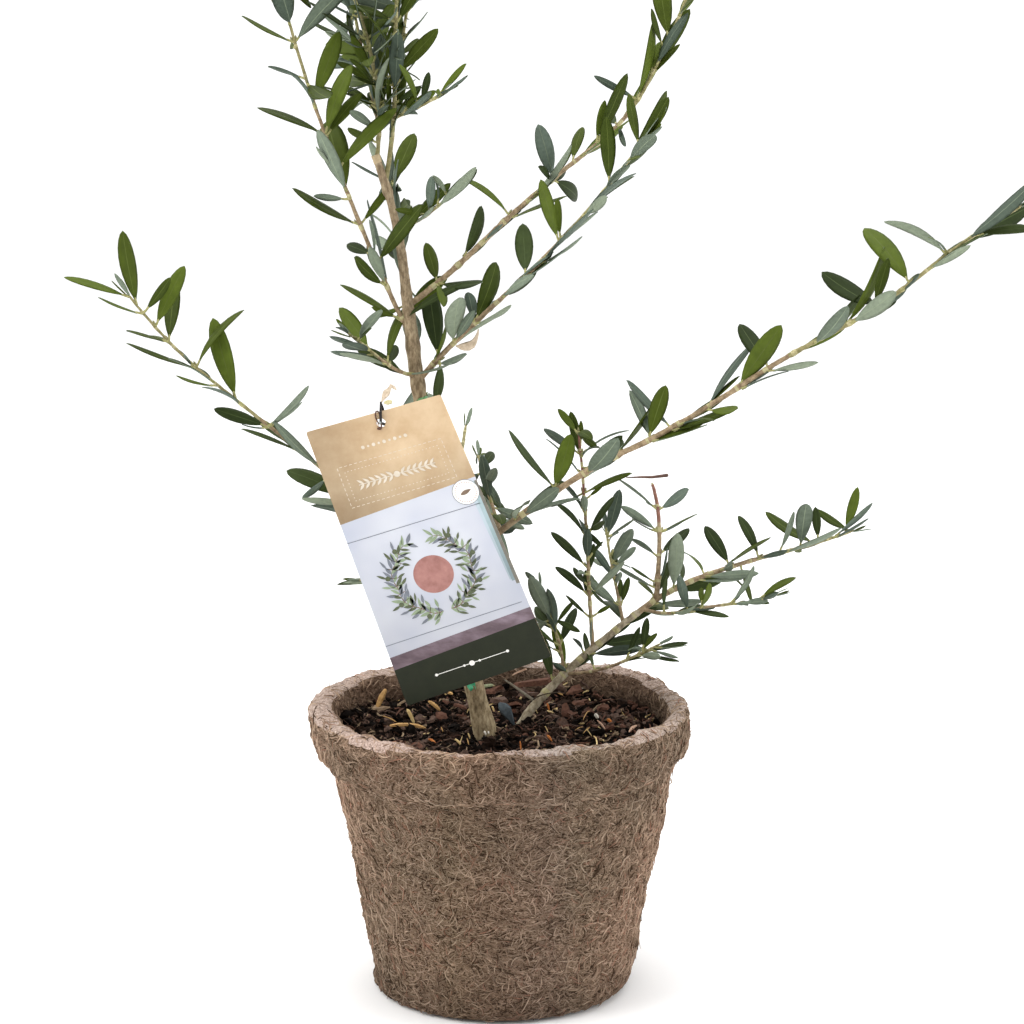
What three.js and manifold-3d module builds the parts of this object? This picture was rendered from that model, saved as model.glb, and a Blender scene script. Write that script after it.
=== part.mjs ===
// Young potted olive tree: a tapering trunk and spreading shoots clothed with
// narrow leaves, growing in a pressed-fibre pot, with a hanging card label.
// Millimetres, +Z up. The origin is the centre of the pot's flat underside and
// the front of the plant faces -Y.
import * as THREE from "three";
import { mergeVertices } from "three/addons/utils/BufferGeometryUtils.js";
import Module from "manifold-3d";

const wasm = await Module();
wasm.setup();

// ---------------------------------------------------------------- dimensions
const POT = {
  height: 101.4,
  baseRadius: 46.6,
  baseRound: 3.0,
  neckRadius: 61.4, // body radius just under the collar
  collarDrop: 18.0, // collar's lower edge, measured down from the lip
  rimRadius: 67.6,
  lipDepth: 9.0, // radial thickness of the rolled lip
  wall: 4.6,
  floor: 5.0,
  facets: 40,
};
const SOIL = { level: 93.6, gap: 0.3, mound: 0.0 };
const GAP = 0.35; // between a piece and the neighbour it is cut by
const LIMB_SIDES = 7;
const TRUNK_SIDES = 10;

// A shoot leaves its parent at fraction `t` of the parent's length. Its heading
// (azimuth from +X towards +Y) and its rise above the horizon change evenly
// between the listed values, in degrees. r0 and r1 are the radii at its two ends.
const TRUNK = {
  foot: [-5.0, -7.0],
  heading: [178.4], rise: [76.2, 78.5, 80.2, 82.7, 84.0, 69.1], length: 205.7,
  // radius at even steps from the foot: root flare, even taper, swollen forks
  radii: [4.2, 3.4, 3.2, 3.0, 2.8, 2.65, 2.5, 2.35, 2.3, 2.35, 1.8, 1.5, 1.35, 1.5],
};
const LOW_STEM = {
  foot: [7.8, 5.2],
  heading: [16.7, 10.1], rise: [50.5, 38.9, 35.0, 16.9, 11.2, 18.7], length: 144.6,
  r0: 1.6, r1: 0.45,
};
const SHOOTS = {
  leader: { from: "trunk", t: 0.95, heading: [26.9, 31.9], rise: [78.6, 88.9, 85.8, 92.2], length: 107.5, r0: 0.85, r1: 0.45 },
  leader_left: { from: "trunk", t: 0.992, heading: [135.9, 132.6], rise: [100.9, 75.8, 61.7, 77.9], length: 84.3, r0: 0.75, r1: 0.4 },
  leader_right: { from: "leader", t: 0.205, heading: [-47.8, -50.0], rise: [17.3, 16.5, 22.8], length: 29.8, r0: 0.6, r1: 0.4 },
  leader_back: { from: "leader", t: 0.36, heading: [75, 80], rise: [45, 60, 70], length: 52, r0: 0.65, r1: 0.4 },
  rear_left: { from: "leader_left", t: 0.14, heading: [104, 112], rise: [40, 50, 64], length: 64, r0: 0.65, r1: 0.4 },
  left_bough: { from: "trunk", t: 0.236, heading: [-167.3, -166.5], rise: [40.2, 51.1, 39.5, 40.7, 54.6], length: 156.1, r0: 0.95, r1: 0.4 },
  left_twig: { from: "trunk", t: 0.626, heading: [-132.2, -160.3], rise: [7.7, 37.9, 37.5], length: 31.4, r0: 0.65, r1: 0.45 },
  upper_left: { from: "trunk", t: 0.687, heading: [-168.3, -158.5], rise: [63.5, 67.6, 69.8, 74.1, 81.1], length: 146.8, r0: 0.85, r1: 0.4 },
  outer_right: { from: "trunk", t: 0.615, heading: [-15.6, -18.6], rise: [49.6, 41.5, 43.4, 49.0, 51.9], length: 115.7, r0: 1.0, r1: 0.45 },
  inner_right: { from: "trunk", t: 0.744, heading: [10.7, 24.5], rise: [34.9, 42.8, 39.5, 35.0, 60.4, 66.0, 76.7], length: 171.7, r0: 1.05, r1: 0.45 },
  short_right: { from: "trunk", t: 0.875, heading: [-32.7, -29.9], rise: [9.2, 32.2, 38.8], length: 25.8, r0: 0.6, r1: 0.4 },
  right_bough: { from: "trunk", t: 0.285, heading: [-5.4, -6.0], rise: [41.3, 36.8, 25.7, 35.0, 28.2, 40.6, 30.7], length: 232.4, r0: 1.25, r1: 0.55 },
  side_twig: { from: "right_bough", t: 0.101, heading: [104.6, 100.0], rise: [28.0, 27.2, 29.7], length: 44.5, r0: 0.7, r1: 0.4 },
  tag_twig: { from: "trunk", t: 0.209, heading: [-177.5, -178.3], rise: [42.3, 18.1, 2.3], length: 38.1, r0: 0.6, r1: 0.4 },
  back_left: { from: "trunk", t: 0.2, heading: [112, 108], rise: [38, 22, 30], length: 112, r0: 1.0, r1: 0.45 },
  back_mid: { from: "trunk", t: 0.3, heading: [88, 84], rise: [30, 22, 34], length: 104, r0: 1.0, r1: 0.45 },
  back_high: { from: "trunk", t: 0.72, heading: [98, 104], rise: [45, 45, 60], length: 62, r0: 0.8, r1: 0.42 },
  low_a: { from: "low_stem", t: 0.256, heading: [144.7, 148.3], rise: [84.6, 87.1, 81.9], length: 78.7, r0: 0.75, r1: 0.4 },
  low_b: { from: "low_stem", t: 0.458, heading: [69.8, 105.7], rise: [83.8, 61.4, 50.2, 38.8], length: 46.9, r0: 1.0, r1: 0.6 },
  low_c: { from: "low_stem", t: 0.355, heading: [104.9, 98.3], rise: [54.0, 44.4, 45.3], length: 40.2, r0: 0.6, r1: 0.4 },
  low_d: { from: "low_stem", t: 0.16, heading: [-21.6, -21.3], rise: [5.3, 25.0, 31.8], length: 40.0, r0: 0.6, r1: 0.4 },
  low_e: { from: "low_stem", t: 0.416, heading: [-17.4, -18.4], rise: [-14.2, 16.6, 8.2, 23.5], length: 50.9, r0: 0.6, r1: 0.4 },
  low_f: { from: "low_stem", t: 0.157, heading: [142.9, 117.0], rise: [89.7, 60.0, 54.2], length: 34.7, r0: 0.6, r1: 0.4 },
};

// Bare limbs kept as their own pieces: node, shoot and the fraction of the
// shoot at which the limb ends inside its foliage.
const LIMBS = [
  ["leader", "leader", 0.9],
  ["left_bough", "left_bough", 0.33],
  ["right_bough", "right_bough", 0.24],
  ["low_stem", "low_stem", 0.5],
  ["outer_right_bough", "outer_right", 0.16],
  ["inner_right_bough", "inner_right", 0.13],
  ["upper_left_bough", "upper_left", 0.14],
  ["back_left_bough", "back_left", 0.3],
  ["back_mid_bough", "back_mid", 0.28],
  ["back_high_bough", "back_high", 0.2],
  ["low_twig_a", "low_a", 0.2],
  ["low_twig_b", "low_b", 1.0],
];

// Masses of foliage: node, shoot, the stretch of the shoot each one clothes,
// its radius, how far it reaches past the stretch, and the seed of its bumps.
const MASSES = [
  ["foliage_left_inner", "left_bough", 0.3, 0.66, 12.5, 3, 11],
  ["foliage_left_tip", "left_bough", 0.66, 1.0, 14.5, 17, 12],
  ["foliage_left_twig", "left_twig", 0.3, 1.0, 11.5, 8, 13],
  ["foliage_upper_left_low", "upper_left", 0.08, 0.5, 12.5, 2, 14],
  ["foliage_upper_left_high", "upper_left", 0.52, 1.0, 14, 14, 15],
  ["foliage_leader_low", "leader", 0.1, 0.5, 12, 1, 16],
  ["foliage_leader_high", "leader", 0.52, 1.0, 12.5, 15, 17],
  ["foliage_leader_left", "leader_left", 0.2, 1.0, 11.5, 13, 18],
  ["foliage_rear_left", "rear_left", 0.22, 1.0, 11.5, 11, 40],
  ["foliage_leader_right", "leader_right", 0.35, 1.0, 8, 10, 19],
  ["foliage_leader_back", "leader_back", 0.3, 1.0, 10.5, 11, 20],
  ["foliage_outer_right", "outer_right", 0.14, 0.62, 12, 2, 21],
  ["foliage_outer_right_tip", "outer_right", 0.64, 1.0, 12.5, 16, 22],
  ["foliage_inner_right", "inner_right", 0.12, 0.56, 12, 1, 23],
  ["foliage_inner_right_tip", "inner_right", 0.58, 1.0, 13, 16, 24],
  ["foliage_short_right", "short_right", 0.3, 1.0, 8, 10, 25],
  ["foliage_right_inner", "right_bough", 0.22, 0.48, 13, 1, 26],
  ["foliage_right_middle", "right_bough", 0.49, 0.74, 12.5, 1, 27],
  ["foliage_right_tip", "right_bough", 0.75, 1.0, 14, 16, 28],
  ["foliage_side_twig", "side_twig", 0.35, 1.0, 10, 9, 29],
  ["foliage_tag_twig", "tag_twig", 0.35, 1.0, 5, 11, 30],
  ["foliage_back_left", "back_left", 0.27, 1.0, 14, 13, 31],
  ["foliage_back_mid", "back_mid", 0.25, 1.0, 13.5, 13, 32],
  ["foliage_back_high", "back_high", 0.17, 1.0, 13, 12, 33],
  ["foliage_low_tip", "low_stem", 0.46, 1.0, 10.5, 12, 34],
  ["foliage_low_a", "low_a", 0.17, 1.0, 9.5, 9, 35],
  ["foliage_low_c", "low_c", 0.25, 1.0, 8, 9, 36],
  ["foliage_low_d", "low_d", 0.3, 1.0, 6.5, 10, 37],
  ["foliage_low_e", "low_e", 0.25, 1.0, 8, 15, 38],
  ["foliage_low_f", "low_f", 0.35, 1.0, 7.5, 10, 39],
];

// The card is a little out of square: its corners from the bottom left, anticlockwise.
const CARD = {
  corners: [[-25.7, -49.0], [26.7, -49.9], [23.0, 47.8], [-24.0, 51.6]],
  thick: 0.6, round: 0.8, centre: [-24.4, -30, 164.1], roll: 20.4, hole: 1.7, eye: [0.85, 45.8],
};
const WIRE = { radius: 0.5, sides: 6, steps: 30 };
const TIES = [["lower_tie", 0.1, 1.5], ["upper_tie", 0.583, 1.2]]; // node, place on the trunk, half width

// ------------------------------------------------------------------- helpers
const rad = THREE.MathUtils.degToRad;

function evenly(values, s) {
  if (values.length === 1) return values[0];
  const f = Math.min(Math.max(s, 0), 1) * (values.length - 1);
  const i = Math.min(Math.floor(f), values.length - 2);
  return values[i] + (values[i + 1] - values[i]) * (f - i);
}

function grow(start, heading, rise, length) {
  const n = Math.max(8, Math.round(length / 5));
  const points = [start.clone()];
  for (let i = 0; i < n; i++) {
    const s = (i + 0.5) / n;
    const a = rad(evenly(heading, s));
    const e = rad(evenly(rise, s));
    const step = new THREE.Vector3(Math.cos(e) * Math.cos(a), Math.cos(e) * Math.sin(a), Math.sin(e));
    points.push(points[i].clone().addScaledVector(step, length / n));
  }
  return points;
}

function along(points, t) {
  const f = t * (points.length - 1);
  const i = Math.min(Math.max(Math.floor(f), 0), points.length - 2);
  return points[i].clone().lerp(points[i + 1], f - i);
}

const paths = {};
function pathOf(name) {
  if (paths[name]) return paths[name];
  if (name === "trunk") {
    paths.trunk = grow(new THREE.Vector3(...TRUNK.foot, SOIL.level + SOIL.gap), TRUNK.heading, TRUNK.rise, TRUNK.length);
  } else if (name === "low_stem") {
    paths.low_stem = grow(new THREE.Vector3(...LOW_STEM.foot, SOIL.level + SOIL.gap), LOW_STEM.heading, LOW_STEM.rise, LOW_STEM.length);
  } else {
    const s = SHOOTS[name];
    paths[name] = grow(along(pathOf(s.from), s.t), s.heading, s.rise, s.length);
  }
  return paths[name];
}
const shootOf = (name) => (name === "low_stem" ? LOW_STEM : SHOOTS[name]);

// Sections along a run of points, carried without twist.
function sections(points, count, t0, t1, reach = 0) {
  const list = [];
  const length = (points.length - 1) * points[0].distanceTo(points[1]);
  const span = (t1 - t0) * length;
  const total = span + reach;
  let side = null;
  for (let i = 0; i <= count; i++) {
    const d = (i / count) * total;
    const t = t0 + Math.min(d, span) / length;
    const centre = along(points, t);
    const ahead = along(points, Math.min(t + 0.03, 1));
    const behind = along(points, Math.max(t - 0.03, 0));
    const tangent = ahead.sub(behind).normalize();
    if (d > span) centre.addScaledVector(tangent, d - span);
    if (!side) {
      side = new THREE.Vector3(0, -1, 0);
    }
    side = side.clone().addScaledVector(tangent, -side.dot(tangent)).normalize();
    const other = new THREE.Vector3().crossVectors(tangent, side).normalize();
    list.push({ centre, tangent, side, other });
  }
  return list;
}

function between(list, s) {
  const f = Math.min(Math.max(s, 0), 1) * (list.length - 1);
  const i = Math.min(Math.floor(f), list.length - 2);
  const k = f - i;
  const a = list[i];
  const b = list[i + 1];
  return {
    centre: a.centre.clone().lerp(b.centre, k),
    side: a.side.clone().lerp(b.side, k).normalize(),
    other: a.other.clone().lerp(b.other, k).normalize(),
  };
}

// A round limb: a cylinder laid along the run, its radius set by a function.
function limbGeometry(points, t0, t1, radiusAt, sides, steps, flatFoot = false) {
  const g = new THREE.CylinderGeometry(1, 1, 1, sides, steps);
  const list = sections(points, steps, t0, t1);
  const p = g.attributes.position;
  for (let i = 0; i < p.count; i++) {
    const s = p.getY(i) + 0.5;
    const f = between(list, s);
    const r = radiusAt(s);
    const x = p.getX(i) * r;
    const z = p.getZ(i) * r;
    const q = f.centre.clone().addScaledVector(f.side, z).addScaledVector(f.other, x);
    if (flatFoot && s < 1e-6) q.z = f.centre.z;
    p.setXYZ(i, q.x, q.y, q.z);
  }
  return g;
}

// A mass of leaves: a ball drawn out along the run and made uneven.
function massGeometry(points, t0, t1, radius, reach, seed, grown = 0) {
  const around = 9;
  const rings = 8;
  const g = new THREE.SphereGeometry(1, around, rings);
  const list = sections(points, rings * 2, t0, t1, reach);
  const p = g.attributes.position;
  for (let i = 0; i < p.count; i++) {
    const y = p.getY(i);
    const polar = Math.hypot(p.getX(i), p.getZ(i));
    const turn = polar < 1e-6 ? 0 : Math.atan2(p.getZ(i), p.getX(i));
    const s = 0.5 + Math.asin(THREE.MathUtils.clamp(y, -1, 1)) / Math.PI;
    const fill = Math.pow(Math.max(0, 1 - Math.pow(Math.abs(2 * s - 1), 2.6)), 1 / 2.2);
    const bumps = 1 + 0.13 * Math.sin(2 * turn + seed * 1.7 + 5 * s) + 0.12 * Math.sin(3 * turn - seed * 0.9 + 11 * s) + 0.1 * Math.sin(17 * s + seed);
    const r = polar < 1e-6 ? 0 : (radius * fill * bumps + grown);
    const f = between(list, s);
    const q = f.centre.clone().addScaledVector(f.side, Math.sin(turn) * r).addScaledVector(f.other, Math.cos(turn) * r);
    // leaves stand up from a shoot more than they hang below it
    q.z += 0.16 * radius * fill;
    p.setXYZ(i, q.x, q.y, q.z);
  }
  return g;
}

function toSolid(geometry, matrix) {
  let g = geometry.clone();
  if (matrix) g.applyMatrix4(matrix);
  g.deleteAttribute("normal");
  g.deleteAttribute("uv");
  g = mergeVertices(g, 1e-4);
  // triangles that closed up at a pole are dropped
  const index = [];
  for (let i = 0; i < g.index.count; i += 3) {
    const [a, b, c] = [g.index.getX(i), g.index.getX(i + 1), g.index.getX(i + 2)];
    if (a !== b && b !== c && a !== c) index.push(a, b, c);
  }
  const solid = new wasm.Manifold(new wasm.Mesh({
    numProp: 3,
    vertProperties: new Float32Array(g.attributes.position.array),
    triVerts: new Uint32Array(index),
  }));
  if (solid.volume() >= 0) return solid;
  for (let i = 0; i < index.length; i += 3) [index[i], index[i + 1]] = [index[i + 1], index[i]];
  return new wasm.Manifold(new wasm.Mesh({
    numProp: 3,
    vertProperties: new Float32Array(g.attributes.position.array),
    triVerts: new Uint32Array(index),
  }));
}

function largest(solid) {
  const parts = solid.decompose();
  if (parts.length < 2) return solid;
  return parts.reduce((best, part) => (part.volume() > best.volume() ? part : best));
}

function toGeometry(solid) {
  const m = solid.getMesh();
  const g = new THREE.BufferGeometry();
  g.setAttribute("position", new THREE.BufferAttribute(new Float32Array(m.vertProperties), 3));
  g.setIndex(new THREE.BufferAttribute(new Uint32Array(m.triVerts), 1));
  g.computeVertexNormals();
  return g;
}

const group = new THREE.Group();
const colours = {
  fibre: [0x8a7563, 0.95], soil: [0x33261f, 1.0], bark: [0x91856a, 0.8], shoot: [0xa59a7c, 0.75],
  card: [0xcfae80, 0.8], wire: [0x1d1b1b, 0.5], tie: [0x4c9a5e, 0.5],
};
const greens = [0x4c5f2c, 0x56692f, 0x46584a, 0x4f6148, 0x5b6e36];

function add(name, geometry, colour, roughness) {
  const mesh = new THREE.Mesh(geometry, new THREE.MeshStandardMaterial({ color: colour, roughness, metalness: 0 }));
  mesh.name = name;
  group.add(mesh);
  return mesh;
}

// ----------------------------------------------------------------------- pot
const lathe = (profile) => {
  const g = new THREE.LatheGeometry(profile.map(([r, z]) => new THREE.Vector2(r, z)), POT.facets);
  g.rotateX(Math.PI / 2);
  return g;
};
const H = POT.height;
const R = POT.rimRadius;
const innerNeck = POT.neckRadius - POT.wall;
const innerFoot = POT.baseRadius - POT.wall + 0.8;
const innerAt = (z) => innerFoot + (innerNeck - innerFoot) * (z - POT.floor) / (H - POT.collarDrop - POT.floor);
const potProfile = [
  [0, 0],
  [POT.baseRadius - POT.baseRound, 0],
  [POT.baseRadius - 0.6, 1.0],
  [POT.baseRadius, POT.baseRound],
  [POT.neckRadius, H - POT.collarDrop - 1.2],
  [R - 2.2, H - POT.collarDrop + 0.4],
  [R - 0.6, H - POT.collarDrop + 4],
  [R, H - 9],
  [R - 0.6, H - 3.4],
  [R - 2.6, H - 0.8],
  [R - 4.6, H],
  [R - 6.8, H - 0.9],
  [R - POT.lipDepth, H - 3.8],
  [innerAt(H - POT.collarDrop), H - POT.collarDrop],
  [innerFoot, POT.floor],
  [0, POT.floor],
];
const potSolid = toSolid(lathe(potProfile));
add("fibre_pot", toGeometry(potSolid), ...colours.fibre);

// The potting mix fills the pot to just under the lip.
const lipInner = R - POT.lipDepth;
const slope = (lipInner - innerAt(H - POT.collarDrop)) / (POT.collarDrop - 3.8);
const soilEdge = innerAt(H - POT.collarDrop) + slope * (SOIL.level - (H - POT.collarDrop)) - SOIL.gap;
const soilSolid = toSolid(lathe([
  [0, POT.floor + SOIL.gap],
  [innerFoot - SOIL.gap, POT.floor + SOIL.gap],
  [innerAt(H - POT.collarDrop) - SOIL.gap, H - POT.collarDrop],
  [soilEdge, SOIL.level],
  [0, SOIL.level],
]));
add("potting_soil", toGeometry(soilSolid), ...colours.soil);

// --------------------------------------------------------------------- limbs
const trunkSteps = 22;
const trunkSolidOf = (grown) => toSolid(limbGeometry(pathOf("trunk"), 0, 1, (s) => evenly(TRUNK.radii, s) + grown, TRUNK_SIDES, trunkSteps, true));
const trunkSolid = trunkSolidOf(0);
const trunkCutter = trunkSolidOf(GAP);
add("trunk", toGeometry(trunkSolid), ...colours.bark);

const limbSolids = {};
const limbCutters = {};
const cutters = [trunkCutter];
for (const [node, name, end] of LIMBS) {
  const shoot = shootOf(name);
  const points = pathOf(name);
  const steps = Math.max(4, Math.round((shoot.length * end) / 9));
  const make = (grown) => toSolid(limbGeometry(points, 0, end, (s) => shoot.r0 + (shoot.r1 - shoot.r0) * s * end + grown, LIMB_SIDES, steps, name === "low_stem"));
  let solid = make(0);
  for (const cutter of cutters) solid = solid.subtract(cutter);
  solid = largest(solid);
  limbSolids[node] = solid;
  const cutter = make(GAP);
  cutters.push(cutter);
  limbCutters[node] = cutter;
  add(node, toGeometry(solid), ...colours.shoot);
}

// --------------------------------------------------------------- label, ties
const card = new THREE.Shape();
CARD.corners.forEach((corner, k) => {
  const here = new THREE.Vector2(...corner);
  const toward = (other) => new THREE.Vector2(...other).sub(here).setLength(CARD.round).add(here);
  const before = toward(CARD.corners[(k + 3) % 4]);
  const after = toward(CARD.corners[(k + 1) % 4]);
  if (k === 0) card.moveTo(before.x, before.y);
  else card.lineTo(before.x, before.y);
  card.quadraticCurveTo(here.x, here.y, after.x, after.y);
});
const eye = new THREE.Path();
eye.absarc(CARD.eye[0], CARD.eye[1], CARD.hole, 0, Math.PI * 2, true);
card.holes.push(eye);
const cardGeometry = new THREE.ExtrudeGeometry(card, { depth: CARD.thick, bevelEnabled: false, curveSegments: 3 });
cardGeometry.translate(0, 0, -CARD.thick / 2);
cardGeometry.rotateX(Math.PI / 2); // faces -Y, its top up
cardGeometry.rotateY(-rad(CARD.roll));
cardGeometry.translate(...CARD.centre);
const cardSolid = toSolid(cardGeometry);
add("hang_label", toGeometry(cardSolid), ...colours.card);

// The wire goes through the label's eye, over its top edge and round the trunk.
const up = new THREE.Vector3(-Math.sin(rad(CARD.roll)), 0, Math.cos(rad(CARD.roll)));
const across = new THREE.Vector3(Math.cos(rad(CARD.roll)), 0, Math.sin(rad(CARD.roll)));
const out = new THREE.Vector3(0, -1, 0);
const cardPoint = (x, y, n) => new THREE.Vector3(...CARD.centre).addScaledVector(across, x).addScaledVector(up, y).addScaledVector(out, n);
const hug = along(pathOf("trunk"), 0.53);
const [eyeX, eyeY] = CARD.eye;
const loopCurve = new THREE.CatmullRomCurve3([
  cardPoint(eyeX, eyeY, 0),
  cardPoint(eyeX + 0.3, eyeY + 1.0, 1.6),
  cardPoint(eyeX + 1.2, eyeY + 3.6, 1.9),
  cardPoint(eyeX + 2.4, eyeY + 6.6, -0.4),
  cardPoint(eyeX + 2.6, eyeY + 0.8, -5.4),
  new THREE.Vector3(hug.x - 4.6, hug.y - 5.0, hug.z + 1.0),
  new THREE.Vector3(hug.x - 3.6, hug.y + 1.4, hug.z + 1.4),
  new THREE.Vector3(hug.x + 0.2, hug.y + 4.0, hug.z + 1.0),
  new THREE.Vector3(hug.x + 3.9, hug.y + 0.6, hug.z),
  new THREE.Vector3(hug.x + 2.0, hug.y - 5.4, hug.z - 1.6),
  cardPoint(eyeX + 3.4, eyeY - 3.4, -9.0),
  cardPoint(eyeX + 0.5, eyeY - 0.9, -2.0),
], true, "centripetal");
const ring = new THREE.TorusGeometry(1, 0.4, WIRE.sides, WIRE.steps);
const frames = loopCurve.computeFrenetFrames(WIRE.steps, true);
{
  const p = ring.attributes.position;
  for (let j = 0; j <= WIRE.sides; j++) {
    for (let i = 0; i <= WIRE.steps; i++) {
      const k = j * (WIRE.steps + 1) + i;
      const n = i % WIRE.steps;
      const a = ((j % WIRE.sides) / WIRE.sides) * Math.PI * 2;
      const q = loopCurve.getPointAt(n / WIRE.steps)
        .addScaledVector(frames.normals[n], Math.cos(a) * WIRE.radius)
        .addScaledVector(frames.binormals[n], Math.sin(a) * WIRE.radius);
      p.setXYZ(k, q.x, q.y, q.z);
    }
  }
}
const wireSolid = toSolid(ring);
add("label_wire", toGeometry(wireSolid), ...colours.wire);

for (const [name, t, half] of TIES) {
  const points = pathOf("trunk");
  const centre = along(points, t);
  const tangent = along(points, t + 0.02).sub(along(points, t - 0.02)).normalize();
  const inner = evenly(TRUNK.radii, t) + 0.45;
  const g = new THREE.LatheGeometry([
    new THREE.Vector2(inner, -half), new THREE.Vector2(inner + 0.9, -half),
    new THREE.Vector2(inner + 0.9, half), new THREE.Vector2(inner, half), new THREE.Vector2(inner, -half),
  ], 14);
  g.applyQuaternion(new THREE.Quaternion().setFromUnitVectors(new THREE.Vector3(0, 1, 0), tangent));
  g.translate(centre.x, centre.y, centre.z);
  add(name, toGeometry(toSolid(g).subtract(trunkCutter)), ...colours.tie);
}

// ------------------------------------------------------------------- foliage
const cardCutter = toSolid(new THREE.BoxGeometry(55, CARD.thick + 0.8, 105)
  .rotateY(-rad(CARD.roll)).translate(...CARD.centre));
const wireRoom = toSolid((() => {
  const g = ring.clone();
  const p = g.attributes.position;
  for (let j = 0; j <= WIRE.sides; j++) {
    for (let i = 0; i <= WIRE.steps; i++) {
      const k = j * (WIRE.steps + 1) + i;
      const n = i % WIRE.steps;
      const a = ((j % WIRE.sides) / WIRE.sides) * Math.PI * 2;
      const q = loopCurve.getPointAt(n / WIRE.steps)
        .addScaledVector(frames.normals[n], Math.cos(a) * (WIRE.radius + GAP))
        .addScaledVector(frames.binormals[n], Math.sin(a) * (WIRE.radius + GAP));
      p.setXYZ(k, q.x, q.y, q.z);
    }
  }
  return g;
})());
const potCutter = toSolid(new THREE.CylinderGeometry(R + 0.5, R + 0.5, H + 0.5, POT.facets).rotateX(Math.PI / 2).translate(0, 0, (H + 0.5) / 2));
const grownMasses = [];
let shade = 0;
for (const [node, name, t0, t1, radius, reach, seed] of MASSES) {
  const points = pathOf(name);
  let solid = toSolid(massGeometry(points, t0, t1, radius, reach, seed));
  const box = solid.boundingBox();
  const near = (other) => {
    const b = other.boundingBox();
    return [0, 1, 2].every((k) => box.min[k] < b.max[k] && b.min[k] < box.max[k]);
  };
  for (const cutter of [...cutters, cardCutter, wireRoom, potCutter, ...grownMasses]) {
    if (near(cutter)) solid = largest(solid.subtract(cutter));
  }
  grownMasses.push(toSolid(massGeometry(points, t0, t1, radius, reach, seed, GAP)));
  add(node, toGeometry(solid), greens[shade++ % greens.length], 0.85);
}

export default group;
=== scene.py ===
"""Young potted olive tree: the looks.

Everything is worked out in millimetres and written to Blender in metres, in
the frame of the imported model. The origin is the centre of the pot's flat
underside and the front of the plant faces -Y.
"""
import math
import random
import bpy
import numpy as np
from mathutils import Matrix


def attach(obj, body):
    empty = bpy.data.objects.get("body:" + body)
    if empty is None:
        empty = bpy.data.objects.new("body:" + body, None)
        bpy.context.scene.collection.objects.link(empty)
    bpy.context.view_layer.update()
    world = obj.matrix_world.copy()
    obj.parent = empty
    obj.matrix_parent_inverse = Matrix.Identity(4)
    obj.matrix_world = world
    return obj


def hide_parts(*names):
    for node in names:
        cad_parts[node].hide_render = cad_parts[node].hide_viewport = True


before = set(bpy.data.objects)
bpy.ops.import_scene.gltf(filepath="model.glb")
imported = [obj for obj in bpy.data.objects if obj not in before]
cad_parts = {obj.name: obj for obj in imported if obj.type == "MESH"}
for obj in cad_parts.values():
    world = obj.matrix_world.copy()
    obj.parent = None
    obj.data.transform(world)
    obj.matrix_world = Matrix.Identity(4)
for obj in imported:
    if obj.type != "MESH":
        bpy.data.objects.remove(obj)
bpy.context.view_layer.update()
scene = bpy.context.scene
MM = 0.001
TAU = 2 * math.pi

# -------------------------------------------------------------------- camera
camera = bpy.data.objects.new("camera", bpy.data.cameras.new("camera"))
camera.data.sensor_width = 36.0
camera.data.lens = 84.375
camera.location = (0.00453, -0.8309, 0.3192)
camera.rotation_euler = (math.radians(79.92), 0, 0)
scene.collection.objects.link(camera)
scene.camera = camera


# ------------------------------------------------------------------ mesh code
def srgb(code):
    """Linear colour of a six-digit web colour."""
    out = []
    for k in (0, 2, 4):
        c = int(code[k:k + 2], 16) / 255
        out.append(c / 12.92 if c <= 0.04045 else ((c + 0.055) / 1.055) ** 2.4)
    return (*out, 1.0)


def unit(v):
    return v / max(np.linalg.norm(v), 1e-12)


class Heap:
    """Gathers many small shapes, in millimetres, into one mesh."""

    def __init__(self):
        self.points, self.faces, self.slots, self.count = [], [], [], 0

    def add(self, points, faces, slot=0):
        """faces is a list of index tuples; slot one number or one per face."""
        self.points.append(np.asarray(points, float))
        base = self.count
        self.faces.extend(tuple(i + base for i in f) for f in faces)
        self.slots.extend([slot] * len(faces) if isinstance(slot, int) else slot)
        self.count += len(points)

    def build(self, name, materials, smooth=True):
        return build(name, np.concatenate(self.points), self.faces, self.slots, materials, smooth)


def build(name, points, faces, slots, materials, smooth=True):
    mesh = bpy.data.meshes.new(name)
    mesh.from_pydata((np.asarray(points) * MM).tolist(), [], faces if isinstance(faces, list) else faces.tolist())
    for m in materials:
        mesh.materials.append(m)
    mesh.polygons.foreach_set("material_index", np.asarray(slots, np.int32))
    mesh.polygons.foreach_set("use_smooth", np.full(len(mesh.polygons), smooth))
    mesh.update()
    obj = bpy.data.objects.new(name, mesh)
    scene.collection.objects.link(obj)
    return obj


def place(obj, slot, *nodes):
    """Every piece rides on the plant's one body."""
    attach(obj, "root")
    if nodes:
        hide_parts(*nodes)
    return obj


class Field:
    """A smooth random field, about -1.5 to 1.5, whose bumps are `wave` mm across."""

    def __init__(self, wave, seed, terms=26):
        rng = np.random.default_rng(seed)
        d = rng.normal(size=(terms, 3))
        d /= np.linalg.norm(d, axis=1)[:, None]
        self.k = (d * (TAU / wave * rng.uniform(0.6, 1.5, terms))[:, None]).T
        self.phase = rng.uniform(0, TAU, terms)
        self.gain = math.sqrt(2 / terms)

    def __call__(self, p):
        p = np.asarray(p, float)
        return np.cos(p @ self.k + self.phase).sum(-1) * self.gain


def smoothstep(x, a, b):
    t = np.clip((np.asarray(x, float) - a) / (b - a), 0, 1)
    return t * t * (3 - 2 * t)


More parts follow.
